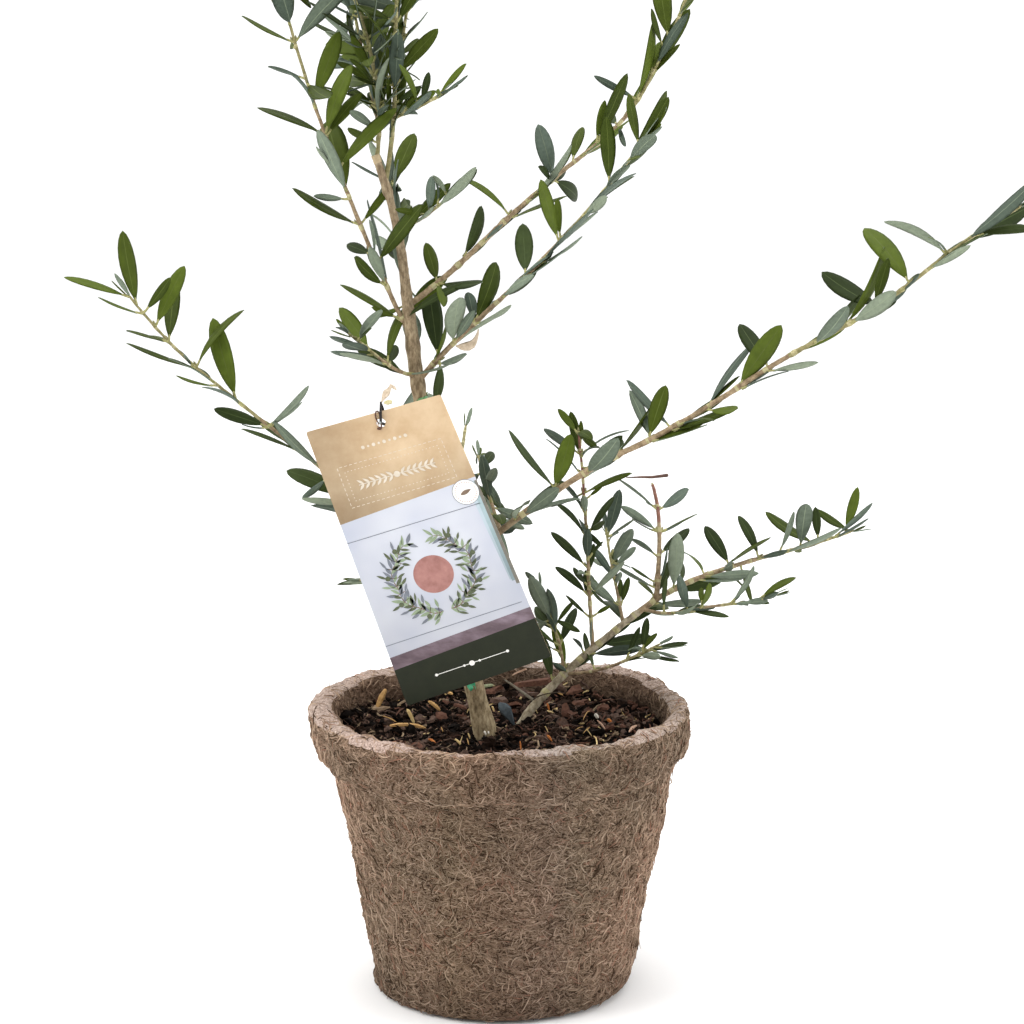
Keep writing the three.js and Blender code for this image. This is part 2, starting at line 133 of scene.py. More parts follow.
def tube(points, radii, sides, side=None, cap=(True, True)):
    """A tube along points; the ring is carried without twist."""
    points = np.asarray(points, float)
    n = len(points)
    tangent = np.gradient(points, axis=0)
    tangent /= np.maximum(np.linalg.norm(tangent, axis=1), 1e-9)[:, None]
    side = np.array([0, -1.0, 0.12]) if side is None else np.asarray(side, float)
    if abs(unit(side) @ tangent[0]) > 0.95:
        side = np.array([1.0, 0.1, 0.05])
    out = []
    for i in range(n):
        side = unit(side - tangent[i] * (side @ tangent[i]))
        other = np.cross(tangent[i], side)
        a = np.arange(sides) * TAU / sides
        out.append(points[i] + radii[i] * (np.cos(a)[:, None] * side + np.sin(a)[:, None] * other))
    verts = np.concatenate(out)
    faces = []
    for i in range(n - 1):
        for j in range(sides):
            k = (j + 1) % sides
            faces.append((i * sides + j, i * sides + k, (i + 1) * sides + k, (i + 1) * sides + j))
    if cap[0]:
        faces.append(tuple(range(sides - 1, -1, -1)))
    if cap[1]:
        faces.append(tuple((n - 1) * sides + j for j in range(sides)))
    return verts, faces


# ------------------------------------------------------------------ materials
def procedural(name, colours, scale, rough=0.7, spec=0.3, detail=4.0, stretch=(1, 1, 1), bump=0.0, bump_scale=None,
               stops=None, rough_range=0.08, distance=0.2, swirl=0.0, pits=False):
    """Colours mixed by noise, with bump and an uneven roughness. Scale is in bumps a metre.
    swirl pulls the noise into whorls; with pits the dark places are also the low ones."""
    m = bpy.data.materials.new(name)
    m.use_nodes = True
    t = m.node_tree
    n, link = t.nodes, t.links
    shader = n["Principled BSDF"]
    shader.inputs["Specular IOR Level"].default_value = spec
    where = n.new("ShaderNodeTexCoord")
    turn = n.new("ShaderNodeMapping")
    turn.inputs["Scale"].default_value = stretch
    link.new(where.outputs["Object"], turn.inputs["Vector"])
    noise = n.new("ShaderNodeTexNoise")
    noise.inputs["Scale"].default_value = scale
    noise.inputs["Detail"].default_value = detail
    noise.inputs["Roughness"].default_value = 0.62
    noise.inputs["Distortion"].default_value = swirl
    link.new(turn.outputs["Vector"], noise.inputs["Vector"])
    ramp = n.new("ShaderNodeValToRGB")
    stops = stops or [0.3 + 0.4 * k / max(len(colours) - 1, 1) for k in range(len(colours))]
    while len(ramp.color_ramp.elements) < len(colours):
        ramp.color_ramp.elements.new(0.5)
    for e, s, c in zip(ramp.color_ramp.elements, stops, colours):
        e.position = s
        e.color = srgb(c) if isinstance(c, str) else c
    link.new(noise.outputs["Fac"], ramp.inputs["Fac"])
    link.new(ramp.outputs["Color"], shader.inputs["Base Color"])
    spread = n.new("ShaderNodeMapRange")
    spread.inputs["To Min"].default_value = rough - rough_range
    spread.inputs["To Max"].default_value = rough + rough_range
    link.new(noise.outputs["Fac"], spread.inputs["Value"])
    link.new(spread.outputs["Result"], shader.inputs["Roughness"])
    if bump:
        fine = n.new("ShaderNodeTexNoise")
        fine.inputs["Scale"].default_value = bump_scale or scale * 2
        fine.inputs["Detail"].default_value = 5.0
        link.new(turn.outputs["Vector"], fine.inputs["Vector"])
        lump = n.new("ShaderNodeBump")
        lump.inputs["Strength"].default_value = bump
        lump.inputs["Distance"].default_value = distance * MM
        link.new((noise if pits else fine).outputs["Fac"], lump.inputs["Height"])
        link.new(lump.outputs["Normal"], shader.inputs["Normal"])
    return m


# ------------------------------------------------------------------------ pot
HEIGHT, RIM, COLLAR = 101.4, 67.6, 20.5
POT_PROFILE = [
    (0, 0), (20, 0), (36, 0), (43.4, 0.1), (45.7, 1.0), (46.6, 3.4), (52.8, 40.6), (56.3, 60.0), (60.4, 80.0), (61.0, 82.2), (63.4, 83.2),
    (65.4, 84.3), (66.2, 86.4), (66.7, 90.0), (67.1, 94.0), (67.4, 98.0), (67.4, 100.0), (66.5, 101.2), (64.6, 101.5), (62.2, 101.2), (60.3, 99.8),
    (59.0, 96.2), (57.9, 90.0), (57.2, 86.0),
]


def resample(profile, step, rounds=3):
    p = np.array(profile, float)
    d = np.r_[0, np.cumsum(np.linalg.norm(np.diff(p, axis=0), axis=1))]
    s = np.linspace(0, d[-1], int(d[-1] / step) + 1)
    q = np.stack([np.interp(s, d, p[:, 0]), np.interp(s, d, p[:, 1])], 1)
    for _ in range(rounds):
        q[1:-1] = q[1:-1] * 0.5 + (q[:-2] + q[2:]) * 0.25
    d = np.r_[0, np.cumsum(np.linalg.norm(np.diff(q, axis=0), axis=1))]
    t = np.gradient(q, axis=0)
    t /= np.linalg.norm(t, axis=1)[:, None]
    return d, q, np.stack([t[:, 1], -t[:, 0]], 1)


POT_S, POT_Q, POT_N = resample(POT_PROFILE, 0.8, 2)
CREST, LIP = float(POT_S[POT_Q[:, 1].argmax()]), 3.4
DENT_WIDE, DENT_MID, DENT_FINE, RIM_WAVE = Field(46, 1), Field(11, 2), Field(3.6, 3), Field(70, 4)


def torn_edge(theta):
    """How far, in mm, the lip's pale rolled edge reaches down the collar beyond its least."""
    return 1.3 * np.sin(5 * theta + 1) * np.sin(3 * theta + 0.5) + 0.5 * np.sin(13 * theta) + 1.9 * smoothstep(-np.cos(theta), 0.2, 0.9)


def pot_at(theta, s, lift=0.0):
    """Points on the dented outside of the pot, at angle theta and s mm along its profile."""
    r, z = np.interp(s, POT_S, POT_Q[:, 0]), np.interp(s, POT_S, POT_Q[:, 1])
    nr, nz = np.interp(s, POT_S, POT_N[:, 0]), np.interp(s, POT_S, POT_N[:, 1])
    c, w = np.cos(theta), np.sin(theta)
    p = np.stack([r * c, r * w, z], -1)
    keep = smoothstep(z, 0.3, 5) * smoothstep(r, 20, 40)
    collar = smoothstep(z, 79, 85)
    d = (0.42 * DENT_WIDE(p) + (0.22 + 0.14 * collar) * DENT_MID(p) + 0.15 * DENT_FINE(p)) * keep
    d = d + lift
    # the rim stands a little higher at the back and left, and the body sits a little to the right under it
    higher = (1.4 - 0.9 * c) * smoothstep(w, -0.95, -0.1) * smoothstep(z, 84, 98) * keep
    # the collar's lower edge climbs a little towards the sides and the back
    higher = higher + (0.3 + (1.0 - 0.5 * c) * smoothstep(w, -0.95, -0.3)) * smoothstep(z, 70, 82) * (1 - smoothstep(z, 87, 98)) * keep
    z2 = z + nz * d + collar * keep * 0.5 * RIM_WAVE(p) + higher
    # the lip is thicker at the left
    thick = 1.1 * smoothstep(-c, 0.1, 0.95) * smoothstep(s, CREST + 0.5, CREST + 3.0) * smoothstep(z, 88, 96)
    r2 = r + nr * d + collar * keep * 0.3 * RIM_WAVE(p + 300) - thick
    aside = (1.0 * (1 - smoothstep(z, 78, 84)) + 0.5 * (1 - smoothstep(z, 90, 98))) * keep
    normal = np.stack([nr * c, nr * w, nz], -1)
    return np.stack([r2 * c + aside, r2 * w, np.maximum(z2, 0)], -1), normal


def make_pot():
    around = 330
    theta = np.arange(around) * TAU / around
    rows = []
    s_rows = np.r_[0.8, np.arange(8, 40, 8), np.arange(41, POT_S[-1], 1.05), POT_S[-1]]
    T, S = np.meshgrid(theta, s_rows)
    grid, _ = pot_at(T, S)
    n = len(s_rows)
    pts = np.concatenate([grid.reshape(-1, 3), [[0, 0, 0.0], [0, 0, 86.0]]])
    j = np.arange(around)
    k = (j + 1) % around
    faces = []
    for i in range(n - 1):
        faces.extend(zip((i * around + j).tolist(), (i * around + k).tolist(), ((i + 1) * around + k).tolist(), ((i + 1) * around + j).tolist()))
    foot, top = n * around, n * around + 1
    faces.extend(zip([foot] * around, k.tolist(), j.tolist()))
    last = (n - 1) * around
    faces.extend(zip([top] * around, (last + j).tolist(), (last + k).tolist()))
    felt = procedural("pressed_fibre_felt", ["2a1f16", "5f4e3f", "907c69", "b5a18c"], 1000, rough=0.95, spec=0.08, detail=6, stretch=(0.55, 0.55, 1.15),
                      bump=1.0, distance=0.9, stops=[0.38, 0.46, 0.56, 0.69], swirl=1.8, pits=True)
    inside = procedural("pressed_fibre_inside", ["372a21", "5a493c", "7b6858", "958170"], 800, rough=0.95, spec=0.08, detail=6, stretch=(0.6, 0.6, 1.1),
                        bump=1.0, distance=0.9, stops=[0.34, 0.46, 0.57, 0.7], swirl=1.2, pits=True)
    lip = procedural("pressed_fibre_lip", ["62554c", "95857b", "b3a399", "c8bab0"], 1500, rough=0.95, spec=0.08, detail=5, stretch=(0.8, 0.8, 1),
                     bump=0.7, distance=0.5, stops=[0.34, 0.44, 0.56, 0.7], swirl=0.8, pits=True)
    # these add painted light and shade: lighter on the left, darker in the middle, a painted highlight along the rim's
    # top and painted shade towards the foot
    weathering_and_painted_light(felt)
    weathering_and_painted_light(inside)
    weathering_and_painted_light(lip)
    row = np.minimum(np.arange(len(faces)) // around, n - 2)
    at, wall = s_rows[row], np.arange(len(faces)) < (n - 1) * around
    edge = CREST + LIP + 0.9 * np.sin(np.arange(len(faces)) % around * TAU / around * 7) * np.sin(np.arange(len(faces)) % around * TAU / around * 3)
    reach = torn_edge(np.arange(len(faces)) % around * TAU / around)
    slots = np.where(wall & (at > edge), 1, np.where(wall & (at > CREST - 3.4 - reach), 2, 0))
    obj = build("pot_felt", pts, faces, slots, [felt, inside, lip])
    place(obj, "pressed_fibre", "fibre_pot")


def weathering_and_painted_light(material):
    """Large soft patches of warmer and cooler brown, plus painted light and shade: lighter on the left and darker in
    the middle, a painted highlight along the rim's top, a little darker on the collar's upper part, and painted shade
    towards the foot.
    """
    t = material.node_tree
    n, link = t.nodes, t.links
    shader = n["Principled BSDF"]
    pattern = shader.inputs["Base Color"].links[0].from_socket
    where = n.new("ShaderNodeTexCoord")
    patch = n.new("ShaderNodeTexNoise")
    patch.inputs["Scale"].default_value = 17
    patch.inputs["Detail"].default_value = 3
    link.new(where.outputs["Object"], patch.inputs["Vector"])
    ramp = n.new("ShaderNodeValToRGB")
    ramp.color_ramp.elements[0].position, ramp.color_ramp.elements[0].color = 0.38, (0.85, 0.84, 0.82, 1)
    ramp.color_ramp.elements[1].position, ramp.color_ramp.elements[1].color = 0.62, (1.06, 0.985, 0.965, 1)
    link.new(patch.outputs["Fac"], ramp.inputs["Fac"])
    mix = n.new("ShaderNodeMix")
    mix.data_type, mix.blend_type = "RGBA", "MULTIPLY"
    mix.inputs["Factor"].default_value = 1.0
    link.new(pattern, mix.inputs["A"])
    link.new(ramp.outputs["Color"], mix.inputs["B"])
    split = n.new("ShaderNodeSeparateXYZ")
    link.new(where.outputs["Object"], split.inputs["Vector"])
    # warmer and lighter on the left, darker in the middle, cooler on the right: the lighter left and darker middle are
    # painted light and shade, as from the key lamp at the left
    side = n.new("ShaderNodeMapRange")
    side.inputs["From Min"].default_value = -0.060
    side.inputs["From Max"].default_value = 0.060
    link.new(split.outputs["X"], side.inputs["Value"])
    painted_side_light = n.new("ShaderNodeValToRGB")
    painted_side_light.color_ramp.interpolation = "B_SPLINE"
    while len(painted_side_light.color_ramp.elements) < 5:
        painted_side_light.color_ramp.elements.new(0.5)
    for e, (at, tint) in zip(painted_side_light.color_ramp.elements, ((0.0, (1.36, 1.25, 1.12)), (0.24, (1.17, 1.1, 1.04)), (0.52, (0.86, 0.87, 0.88)),
                                                           (0.78, (1.0, 1.04, 1.1)), (1.0, (1.02, 1.11, 1.26)))):
        e.position, e.color = at, (*tint, 1)
    link.new(side.outputs["Result"], painted_side_light.inputs["Fac"])
    tinted = n.new("ShaderNodeMix")
    tinted.data_type, tinted.blend_type = "RGBA", "MULTIPLY"
    tinted.inputs["Factor"].default_value = 1.0
    link.new(mix.outputs["Result"], tinted.inputs["A"])
    link.new(painted_side_light.outputs["Color"], tinted.inputs["B"])
    # painted shade: darker towards the foot, where the pot meets the floor
    foot = n.new("ShaderNodeMapRange")
    foot.interpolation_type = "SMOOTHSTEP"
    for socket, value in (("From Min", 0.001), ("From Max", 0.022), ("To Min", 0.72), ("To Max", 1.0)):
        foot.inputs[socket].default_value = value
    link.new(split.outputs["Z"], foot.inputs["Value"])
    # painted highlight: lighter along the rim's top, where the top light falls
    lip = n.new("ShaderNodeMapRange")
    lip.interpolation_type = "SMOOTHSTEP"
    for socket, value in (("From Min", 0.0950), ("From Max", 0.1000), ("To Min", 1.0), ("To Max", 1.17)):
        lip.inputs[socket].default_value = value
    link.new(split.outputs["Z"], lip.inputs["Value"])
    band = n.new("ShaderNodeMapRange")
    band.interpolation_type = "SMOOTHSTEP"
    for socket, value in (("From Min", 0.080), ("From Max", 0.086), ("To Min", 1.0), ("To Max", 0.92)):
        band.inputs[socket].default_value = value
    link.new(split.outputs["Z"], band.inputs["Value"])
    both = n.new("ShaderNodeMath")
    both.operation = "MULTIPLY"
    link.new(lip.outputs["Result"], both.inputs[0])
    link.new(band.outputs["Result"], both.inputs[1])
    all_three = n.new("ShaderNodeMath")
    all_three.operation = "MULTIPLY"
    link.new(both.outputs["Value"], all_three.inputs[0])
    link.new(foot.outputs["Result"], all_three.inputs[1])
    painted_light_by_height = n.new("ShaderNodeVectorMath")
    painted_light_by_height.operation = "SCALE"
    link.new(tinted.outputs["Result"], painted_light_by_height.inputs[0])
    link.new(all_three.outputs["Value"], painted_light_by_height.inputs["Scale"])
    link.new(painted_light_by_height.outputs["Vector"], shader.inputs["Base Color"])


def make_fibres():
    """Loose fibres pressed into the pot's outside: thin three-sided strands that follow swirls."""
    rng = np.random.default_rng(11)
    count, steps = 21000, 4
    low, high = 46.0, POT_S[-1] - 7
    s = rng.uniform(low, high, count * 2)
    theta = rng.uniform(0, TAU, count * 2)
    share = np.interp(s, POT_S, POT_Q[:, 0]) / RIM
    share[(s > CREST - 2.4 - torn_edge(theta)) & (s < CREST + LIP)] *= 0.22
    share[s > CREST + LIP] *= 0.25
    chosen = np.flatnonzero(rng.uniform(0, 1, count * 2) < share)[:count]
    s, theta = s[chosen], theta[chosen]
    count = len(s)
    base, _ = pot_at(theta, s)
    swirl = Field(26, 21)
    angle = 0.6 * swirl(base) + rng.normal(0, 0.44, count)
    loose = rng.uniform(0, 1, count) < 0.26
    angle[loose] = rng.uniform(0, TAU, loose.sum())
    angle[rng.uniform(0, 1, count) < 0.5] += math.pi
    length = np.clip(rng.lognormal(math.log(4.4), 0.42, count), 2.0, 11)
    bend = rng.normal(0, 0.16, count)
    wiggle = rng.normal(0, 0.36, (count, steps))
    kind = rng.choice(5, count, p=[0.13, 0.33, 0.34, 0.13, 0.07])
    kind[s > CREST + 2] = rng.choice([1, 2], int((s > CREST + 2).sum()))
    radius = np.where(rng.uniform(0, 1, count) < 0.55, rng.uniform(0.17, 0.3, count), rng.uniform(0.09, 0.17, count))
    high_lift = np.abs(rng.normal(0, 0.2, count)) - 0.02
    free = (rng.uniform(0, 1, count) < 0.035) * rng.uniform(0.4, 1.5, count)
    line = []
    th, ss, an = theta.copy(), s.copy(), angle.copy()
    for i in range(steps):
        f = i / (steps - 1)
        lift = high_lift * math.sin(math.pi * (0.15 + 0.7 * f)) * 1.2 - 0.05 + free * f * f
        p, nrm = pot_at(th, np.clip(ss, 1, POT_S[-1] - 0.5), lift)
        line.append((p, nrm))
        step = length / (steps - 1)
        an = an + bend * step + wiggle[:, i]
        r = np.interp(ss, POT_S, POT_Q[:, 0])
        th = th + np.cos(an) * step / np.maximum(r, 20)
        ss = ss + np.sin(an) * step
        ss = np.where(ss < 45, 90 - ss, np.minimum(ss, POT_S[-1] - 6))
    P = np.stack([q[0] for q in line], 1)
    N = np.stack([q[1] for q in line], 1)
    T = np.gradient(P, axis=1)
    T /= np.maximum(np.linalg.norm(T, axis=2), 1e-9)[..., None]
    B = np.cross(T, N)
    B /= np.maximum(np.linalg.norm(B, axis=2), 1e-9)[..., None]
    thin = np.array([0.45, 1.0, 0.95, 0.35])[None, :, None]
    rings = []
    for a in (90, 210, 330):
        rings.append(P + (B * math.cos(math.radians(a)) + N * math.sin(math.radians(a))) * radius[:, None, None] * thin)
    V = np.stack(rings, 2)  # strand, step, corner
    V[..., 2] = np.maximum(V[..., 2], 0.02)
    per = steps * 3
    one = []
    for i in range(steps - 1):
        for j in range(3):
            k = (j + 1) % 3
            one.append((i * 3 + j, i * 3 + k, (i + 1) * 3 + k, (i + 1) * 3 + j))
    one = np.array(one)
    ends = np.array([(2, 1, 0), ((steps - 1) * 3, (steps - 1) * 3 + 1, (steps - 1) * 3 + 2)])
    tones = [
        procedural("fibre_straw", ["ad9884", "c5b09b"], 300, rough=0.88, spec=0.1),
        procedural("fibre_tan", ["9a8571", "b19c88"], 300, rough=0.9, spec=0.1),
        procedural("fibre_brown", ["7c6857", "947f6d"], 300, rough=0.92, spec=0.08),
        procedural("fibre_dark", ["433529", "584738"], 300, rough=0.94, spec=0.08),
        procedural("fibre_rust", ["8c6b59", "a5826f"], 300, rough=0.92, spec=0.1),
    ]
    # the fibres take the same painted light and shade as the felt: lighter on the left, darker in the middle, a
    # highlight along the rim's top and shade towards the foot
    for tone in tones:
        weathering_and_painted_light(tone)
    parts = 3
    order = np.array_split(np.arange(count), parts)
    for number, some in enumerate(order):
        m = len(some)
        shift = (np.arange(m) * per)[:, None, None]
        quads = (one[None] + shift).reshape(-1, 4).tolist()
        tris = (ends[None] + shift).reshape(-1, 3).tolist()
        slots = np.r_[np.repeat(kind[some], len(one)), np.repeat(kind[some], 2)]
        obj = build(f"pot_fibres_{number + 1}", V[some].reshape(-1, 3), quads + tris, slots, tones)
        place(obj, "pressed_fibre")


make_pot()
make_fibres()

# ----------------------------------------------------------------------- soil
SOIL_LEVEL, SOIL_RADIUS = 93.6, 58.3
HEAVE, GRIT = Field(20, 31), Field(6.5, 32)


def mound(x, y):
    """The soil banked up against the two stems."""
    return 2.3 * np.exp(-((x + 5.0) ** 2 + (y + 7.0) ** 2) / 30) + 2.0 * np.exp(-((x - 8.6) ** 2 + (y - 5.0) ** 2) / 9)


def soil_height(x, y):
    """Height of the loose soil's surface: uneven, and a little up against the wall."""
    r = np.hypot(x, y)
    p = np.stack([np.asarray(x, float), np.asarray(y, float), np.zeros_like(np.asarray(x, float))], -1)
    return SOIL_LEVEL - 2.1 + 0.8 * HEAVE(p) + 0.75 * GRIT(p) + 1.1 * smoothstep(r, 44, 58) + mound(x, y)


def blob(rng, size, flat, facets):
    """An uneven lump: a ball of few faces, each point moved."""
    rings, around = (4, 6) if facets > 20 else (3, 5)
    pts = [(0, 0, 1.0)]
    for i in range(1, rings):
        a = math.pi * i / rings
        for j in range(around):
            b = TAU * (j + 0.5 * (i % 2)) / around
            pts.append((math.sin(a) * math.cos(b), math.sin(a) * math.sin(b), math.cos(a)))
    pts.append((0, 0, -1.0))
    p = np.array(pts)
    p *= rng.uniform(0.68, 1.3, len(p))[:, None]
    p *= np.array(size) * np.array([1, 1, flat])
    faces = []
    for j in range(around):
        faces.append((0, 1 + j, 1 + (j + 1) % around))
    for i in range(rings - 2):
        for j in range(around):
            a0, a1 = 1 + i * around + j, 1 + i * around + (j + 1) % around
            b0, b1 = a0 + around, a1 + around
            faces.append((a0, b0, b1, a1))
    last = len(p) - 1
    base = 1 + (rings - 2) * around
    for j in range(around):
        faces.append((last, base + (j + 1) % around, base + j))
    return p, faces


def shard(rng, long, wide, deep):
    """A flat flake of bark: an uneven many-sided plate with a smaller, crooked top."""
    n = int(rng.integers(5, 8))
    a = np.sort(rng.uniform(0, TAU, n) * 0.35 + np.arange(n) * TAU / n * 1.0)
    r = rng.uniform(0.75, 1.15, n)
    low = np.stack([long * r * np.cos(a), wide * r * np.sin(a), rng.normal(0, 0.12 * deep, n) - deep / 2], -1)
    top = low * np.array([0.82, 0.8, 0]) + np.stack([np.zeros(n), np.zeros(n), deep / 2 + rng.normal(0, 0.22 * deep, n)], -1)
    faces = [tuple(range(n, 2 * n)), tuple(range(n - 1, -1, -1))]
    faces += [(i, (i + 1) % n, n + (i + 1) % n, n + i) for i in range(n)]
    return np.concatenate([low, top]), faces


def turned(p, rng, tilt=0.6):
    """p turned freely about Z and tipped by up to tilt."""
    a, b, c = rng.uniform(0, TAU), rng.normal(0, tilt), rng.normal(0, tilt)
    ca, sa, cb, sb, cc, sc = math.cos(a), math.sin(a), math.cos(b), math.sin(b), math.cos(c), math.sin(c)
    rx = np.array([[1, 0, 0], [0, cb, -sb], [0, sb, cb]])
    ry = np.array([[cc, 0, sc], [0, 1, 0], [-sc, 0, cc]])
    rz = np.array([[ca, -sa, 0], [sa, ca, 0], [0, 0, 1]])
    return p @ (rz @ rx @ ry).T


def clear_of_stems(x, y, room=5.0):
    return math.hypot(x + 5.0, y + 7.0) > room and math.hypot(x - 7.8, y - 5.2) > room * 0.6


def make_soil():
    around, rings = 120, 48
    pts, faces = [], []
    for i in range(rings + 1):
        r = SOIL_RADIUS * (i / rings) ** 0.9
        a = np.arange(around) * TAU / around
        x, y = r * np.cos(a), r * np.sin(a)
        pts.append(np.stack([x, y, soil_height(x, y)], -1))
    pts.append(np.stack([SOIL_RADIUS * np.cos(a), SOIL_RADIUS * np.sin(a), np.full(around, 86.5)], -1))
    for i in range(rings + 1):
        for j in range(around):
            k = (j + 1) % around
            faces.append((i * around + j, (i + 1) * around + j, (i + 1) * around + k, i * around + k))
    faces.append(tuple((rings + 1) * around + j for j in range(around)))
    faces.append(tuple(range(around - 1, -1, -1)))
    # the bed is the peat's dark brown taken down to near black: partly painted shade for the deep gaps between crumbs
    peat_with_gap_shade = procedural("peat_with_gap_shade", ["070403", "100a07", "261a12"], 700, rough=0.95, spec=0.06, detail=6, bump=1.0, bump_scale=1600, distance=0.5)
    place(build("soil_bed", np.concatenate(pts), faces, np.zeros(len(faces)), [peat_with_gap_shade]), "potting_mix", "potting_soil")

    tones = [
        procedural("crumb_black", ["060403", "150e0a"], 900, rough=0.95, spec=0.08, bump=0.5),
        procedural("crumb_dark", ["1b120e", "33241b"], 900, rough=0.95, spec=0.1, bump=0.5),
        procedural("crumb_brown", ["3f2e26", "624c40"], 700, rough=0.8, spec=0.25, bump=0.7),
        procedural("bark_red", ["482f26", "6b4b3d"], 900, rough=0.85, spec=0.15, bump=0.5),
        procedural("chip_tan", ["a98353", "cfa66c"], 400, rough=0.75, spec=0.25, stretch=(1, 1, 3), bump=0.3),
        procedural("straw_yellow", ["bfa066", "dcc694"], 400, rough=0.7, spec=0.25),
        procedural("bark_orange", ["9a5526", "c0773a"], 400, rough=0.75, spec=0.25),
        procedural("fleck_white", ["c9c2b4", "e6e1d6"], 400, rough=0.7, spec=0.25),
        procedural("bark_pink", ["b59078", "d3b199"], 700, rough=0.8, spec=0.2, bump=0.4),
        procedural("shred_grey", ["76634f", "a08b72"], 500, rough=0.85, spec=0.15),
    ]
    rng = np.random.default_rng(41)
    crumbs = Heap()
    for k in range(2900):
        r = SOIL_RADIUS * math.sqrt(rng.uniform(0, 1)) * 0.985
        a = rng.uniform(0, TAU)
        x, y = r * math.cos(a), r * math.sin(a)
        size = float(np.clip(rng.lognormal(math.log(0.8), 0.45), 0.35, 2.4))
        if k < 170:
            # crumbs against the stems' feet
            a, hug = TAU * k / 85, k % 2
            size = rng.uniform(0.5, 1.15)
            out = (4.1 if hug == 0 else 1.7) + rng.uniform(0, 1.6)
            x, y = -5.0 + out * math.cos(a), -7.0 + out * math.sin(a)
            if hug:
                x, y = 8.2 + out * math.cos(a), 5.0 + out * math.sin(a)
        elif not clear_of_stems(x, y, 3.6 + 0.3 * size):
            continue
        p, f = blob(rng, (size * rng.uniform(0.9, 1.8), size, size), rng.uniform(0.5, 0.9), 36 if size > 1.1 else 20)
        p = turned(p, rng)
        z = float(soil_height(x, y)) + size * rng.uniform(0.05, 0.6)
        crumbs.add(p + (x, y, z), f, int(rng.choice(4, p=[0.36, 0.27, 0.23, 0.14] if x > 10 + 6 * HEAVE((x, y, 0)) else [0.56, 0.3, 0.12, 0.02])))
    place(crumbs.build("soil_crumbs", tones, smooth=False), "potting_mix")

    shreds = Heap()
    for k in range(3300):
        r = SOIL_RADIUS * math.sqrt(rng.uniform(0, 1)) * 0.97
        a = rng.uniform(0, TAU)
        x, y = r * math.cos(a), r * math.sin(a)
        if not clear_of_stems(x, y, 4.2):
            continue
        length = float(np.clip(rng.lognormal(math.log(3.3), 0.42), 1.4, 9))
        heading, curl, tip = rng.uniform(0, TAU), rng.normal(0, 0.9), rng.normal(0, 0.4)
        n = 5
        line = [np.array([x, y, float(soil_height(x, y)) + rng.uniform(0.2, 1.5)])]
        for i in range(n - 1):
            heading += curl * length / n
            line.append(line[-1] + np.array([math.cos(heading), math.sin(heading), math.sin(tip)]) * length / (n - 1))
            tip = tip * 0.6 + rng.normal(0, 0.35)
        line = np.array(line)
        far = np.hypot(line[:, 0], line[:, 1]).max()
        if far > SOIL_RADIUS - 0.6:
            continue
        wide = float(rng.uniform(0.16, 0.5))
        v, f = tube(line, wide * np.array([0.4, 1, 0.9, 0.8, 0.25]), 4, side=rng.normal(size=3))
        shreds.add(v, f, int(rng.choice(SHRED_TONES, p=[0.12, 0.2, 0.28, 0.25, 0.12, 0.03] if x > 10 + 6 * HEAVE((x, y, 0)) else [0.28, 0.3, 0.24, 0.06, 0.09, 0.03])))
    # light fragments that catch the eye: both ends, half width, kind
    for x0, y0, z0, x1, y1, z1, half, kind in CHIPS:
        a, b = np.array([x0, y0, z0]), np.array([x1, y1, z1])
        bow = np.array([0, 0, 0.07 * np.linalg.norm(b - a)])
        line = np.array([a + (b - a) * t + bow * math.sin(math.pi * t) for t in (0, 0.1, 0.3, 0.55, 0.8, 0.94, 1.0)])
        crook = rng.uniform(0.82, 1.12, 7)
        v, f = tube(line, half * np.array([0.3, 0.7, 1.0, 0.95, 0.85, 0.55, 0.2]) * crook, 5, side=(0.3, 0.2, 1))
        shreds.add(v, f, kind)
    # flat flakes of bark
    for x, y, z, long, wide, turn_by, kind in FLAKES:
        p, f = shard(rng, long, wide, 0.5 * wide)
        a = math.radians(turn_by)
        p = p @ np.array([[math.cos(a), math.sin(a), 0], [-math.sin(a), math.cos(a), 0], [0, 0, 1]])
        tip_x, tip_y = rng.normal(0, 0.3), rng.normal(0.15, 0.3)
        p[:, 2] += p[:, 0] * tip_x + p[:, 1] * tip_y
        shreds.add(p + (x, y, z), f, kind)
    for k in range(80):
        r, a = 56 * math.sqrt(rng.uniform(0, 1)), rng.uniform(0, TAU)
        x, y = r * math.cos(a), r * math.sin(a)
        if not clear_of_stems(x, y, 6.0):
            continue
        long = rng.uniform(1.3, 3.2)
        p, f = shard(rng, long, long * rng.uniform(0.35, 0.75), rng.uniform(0.4, 1.1))
        shreds.add(turned(p, rng, 0.35) + (x, y, float(soil_height(x, y)) + 0.5), f, int(rng.choice([1, 2, 3], p=[0.62, 0.26, 0.12])))
    place(shreds.build("soil_shreds", tones, smooth=False), "potting_mix")


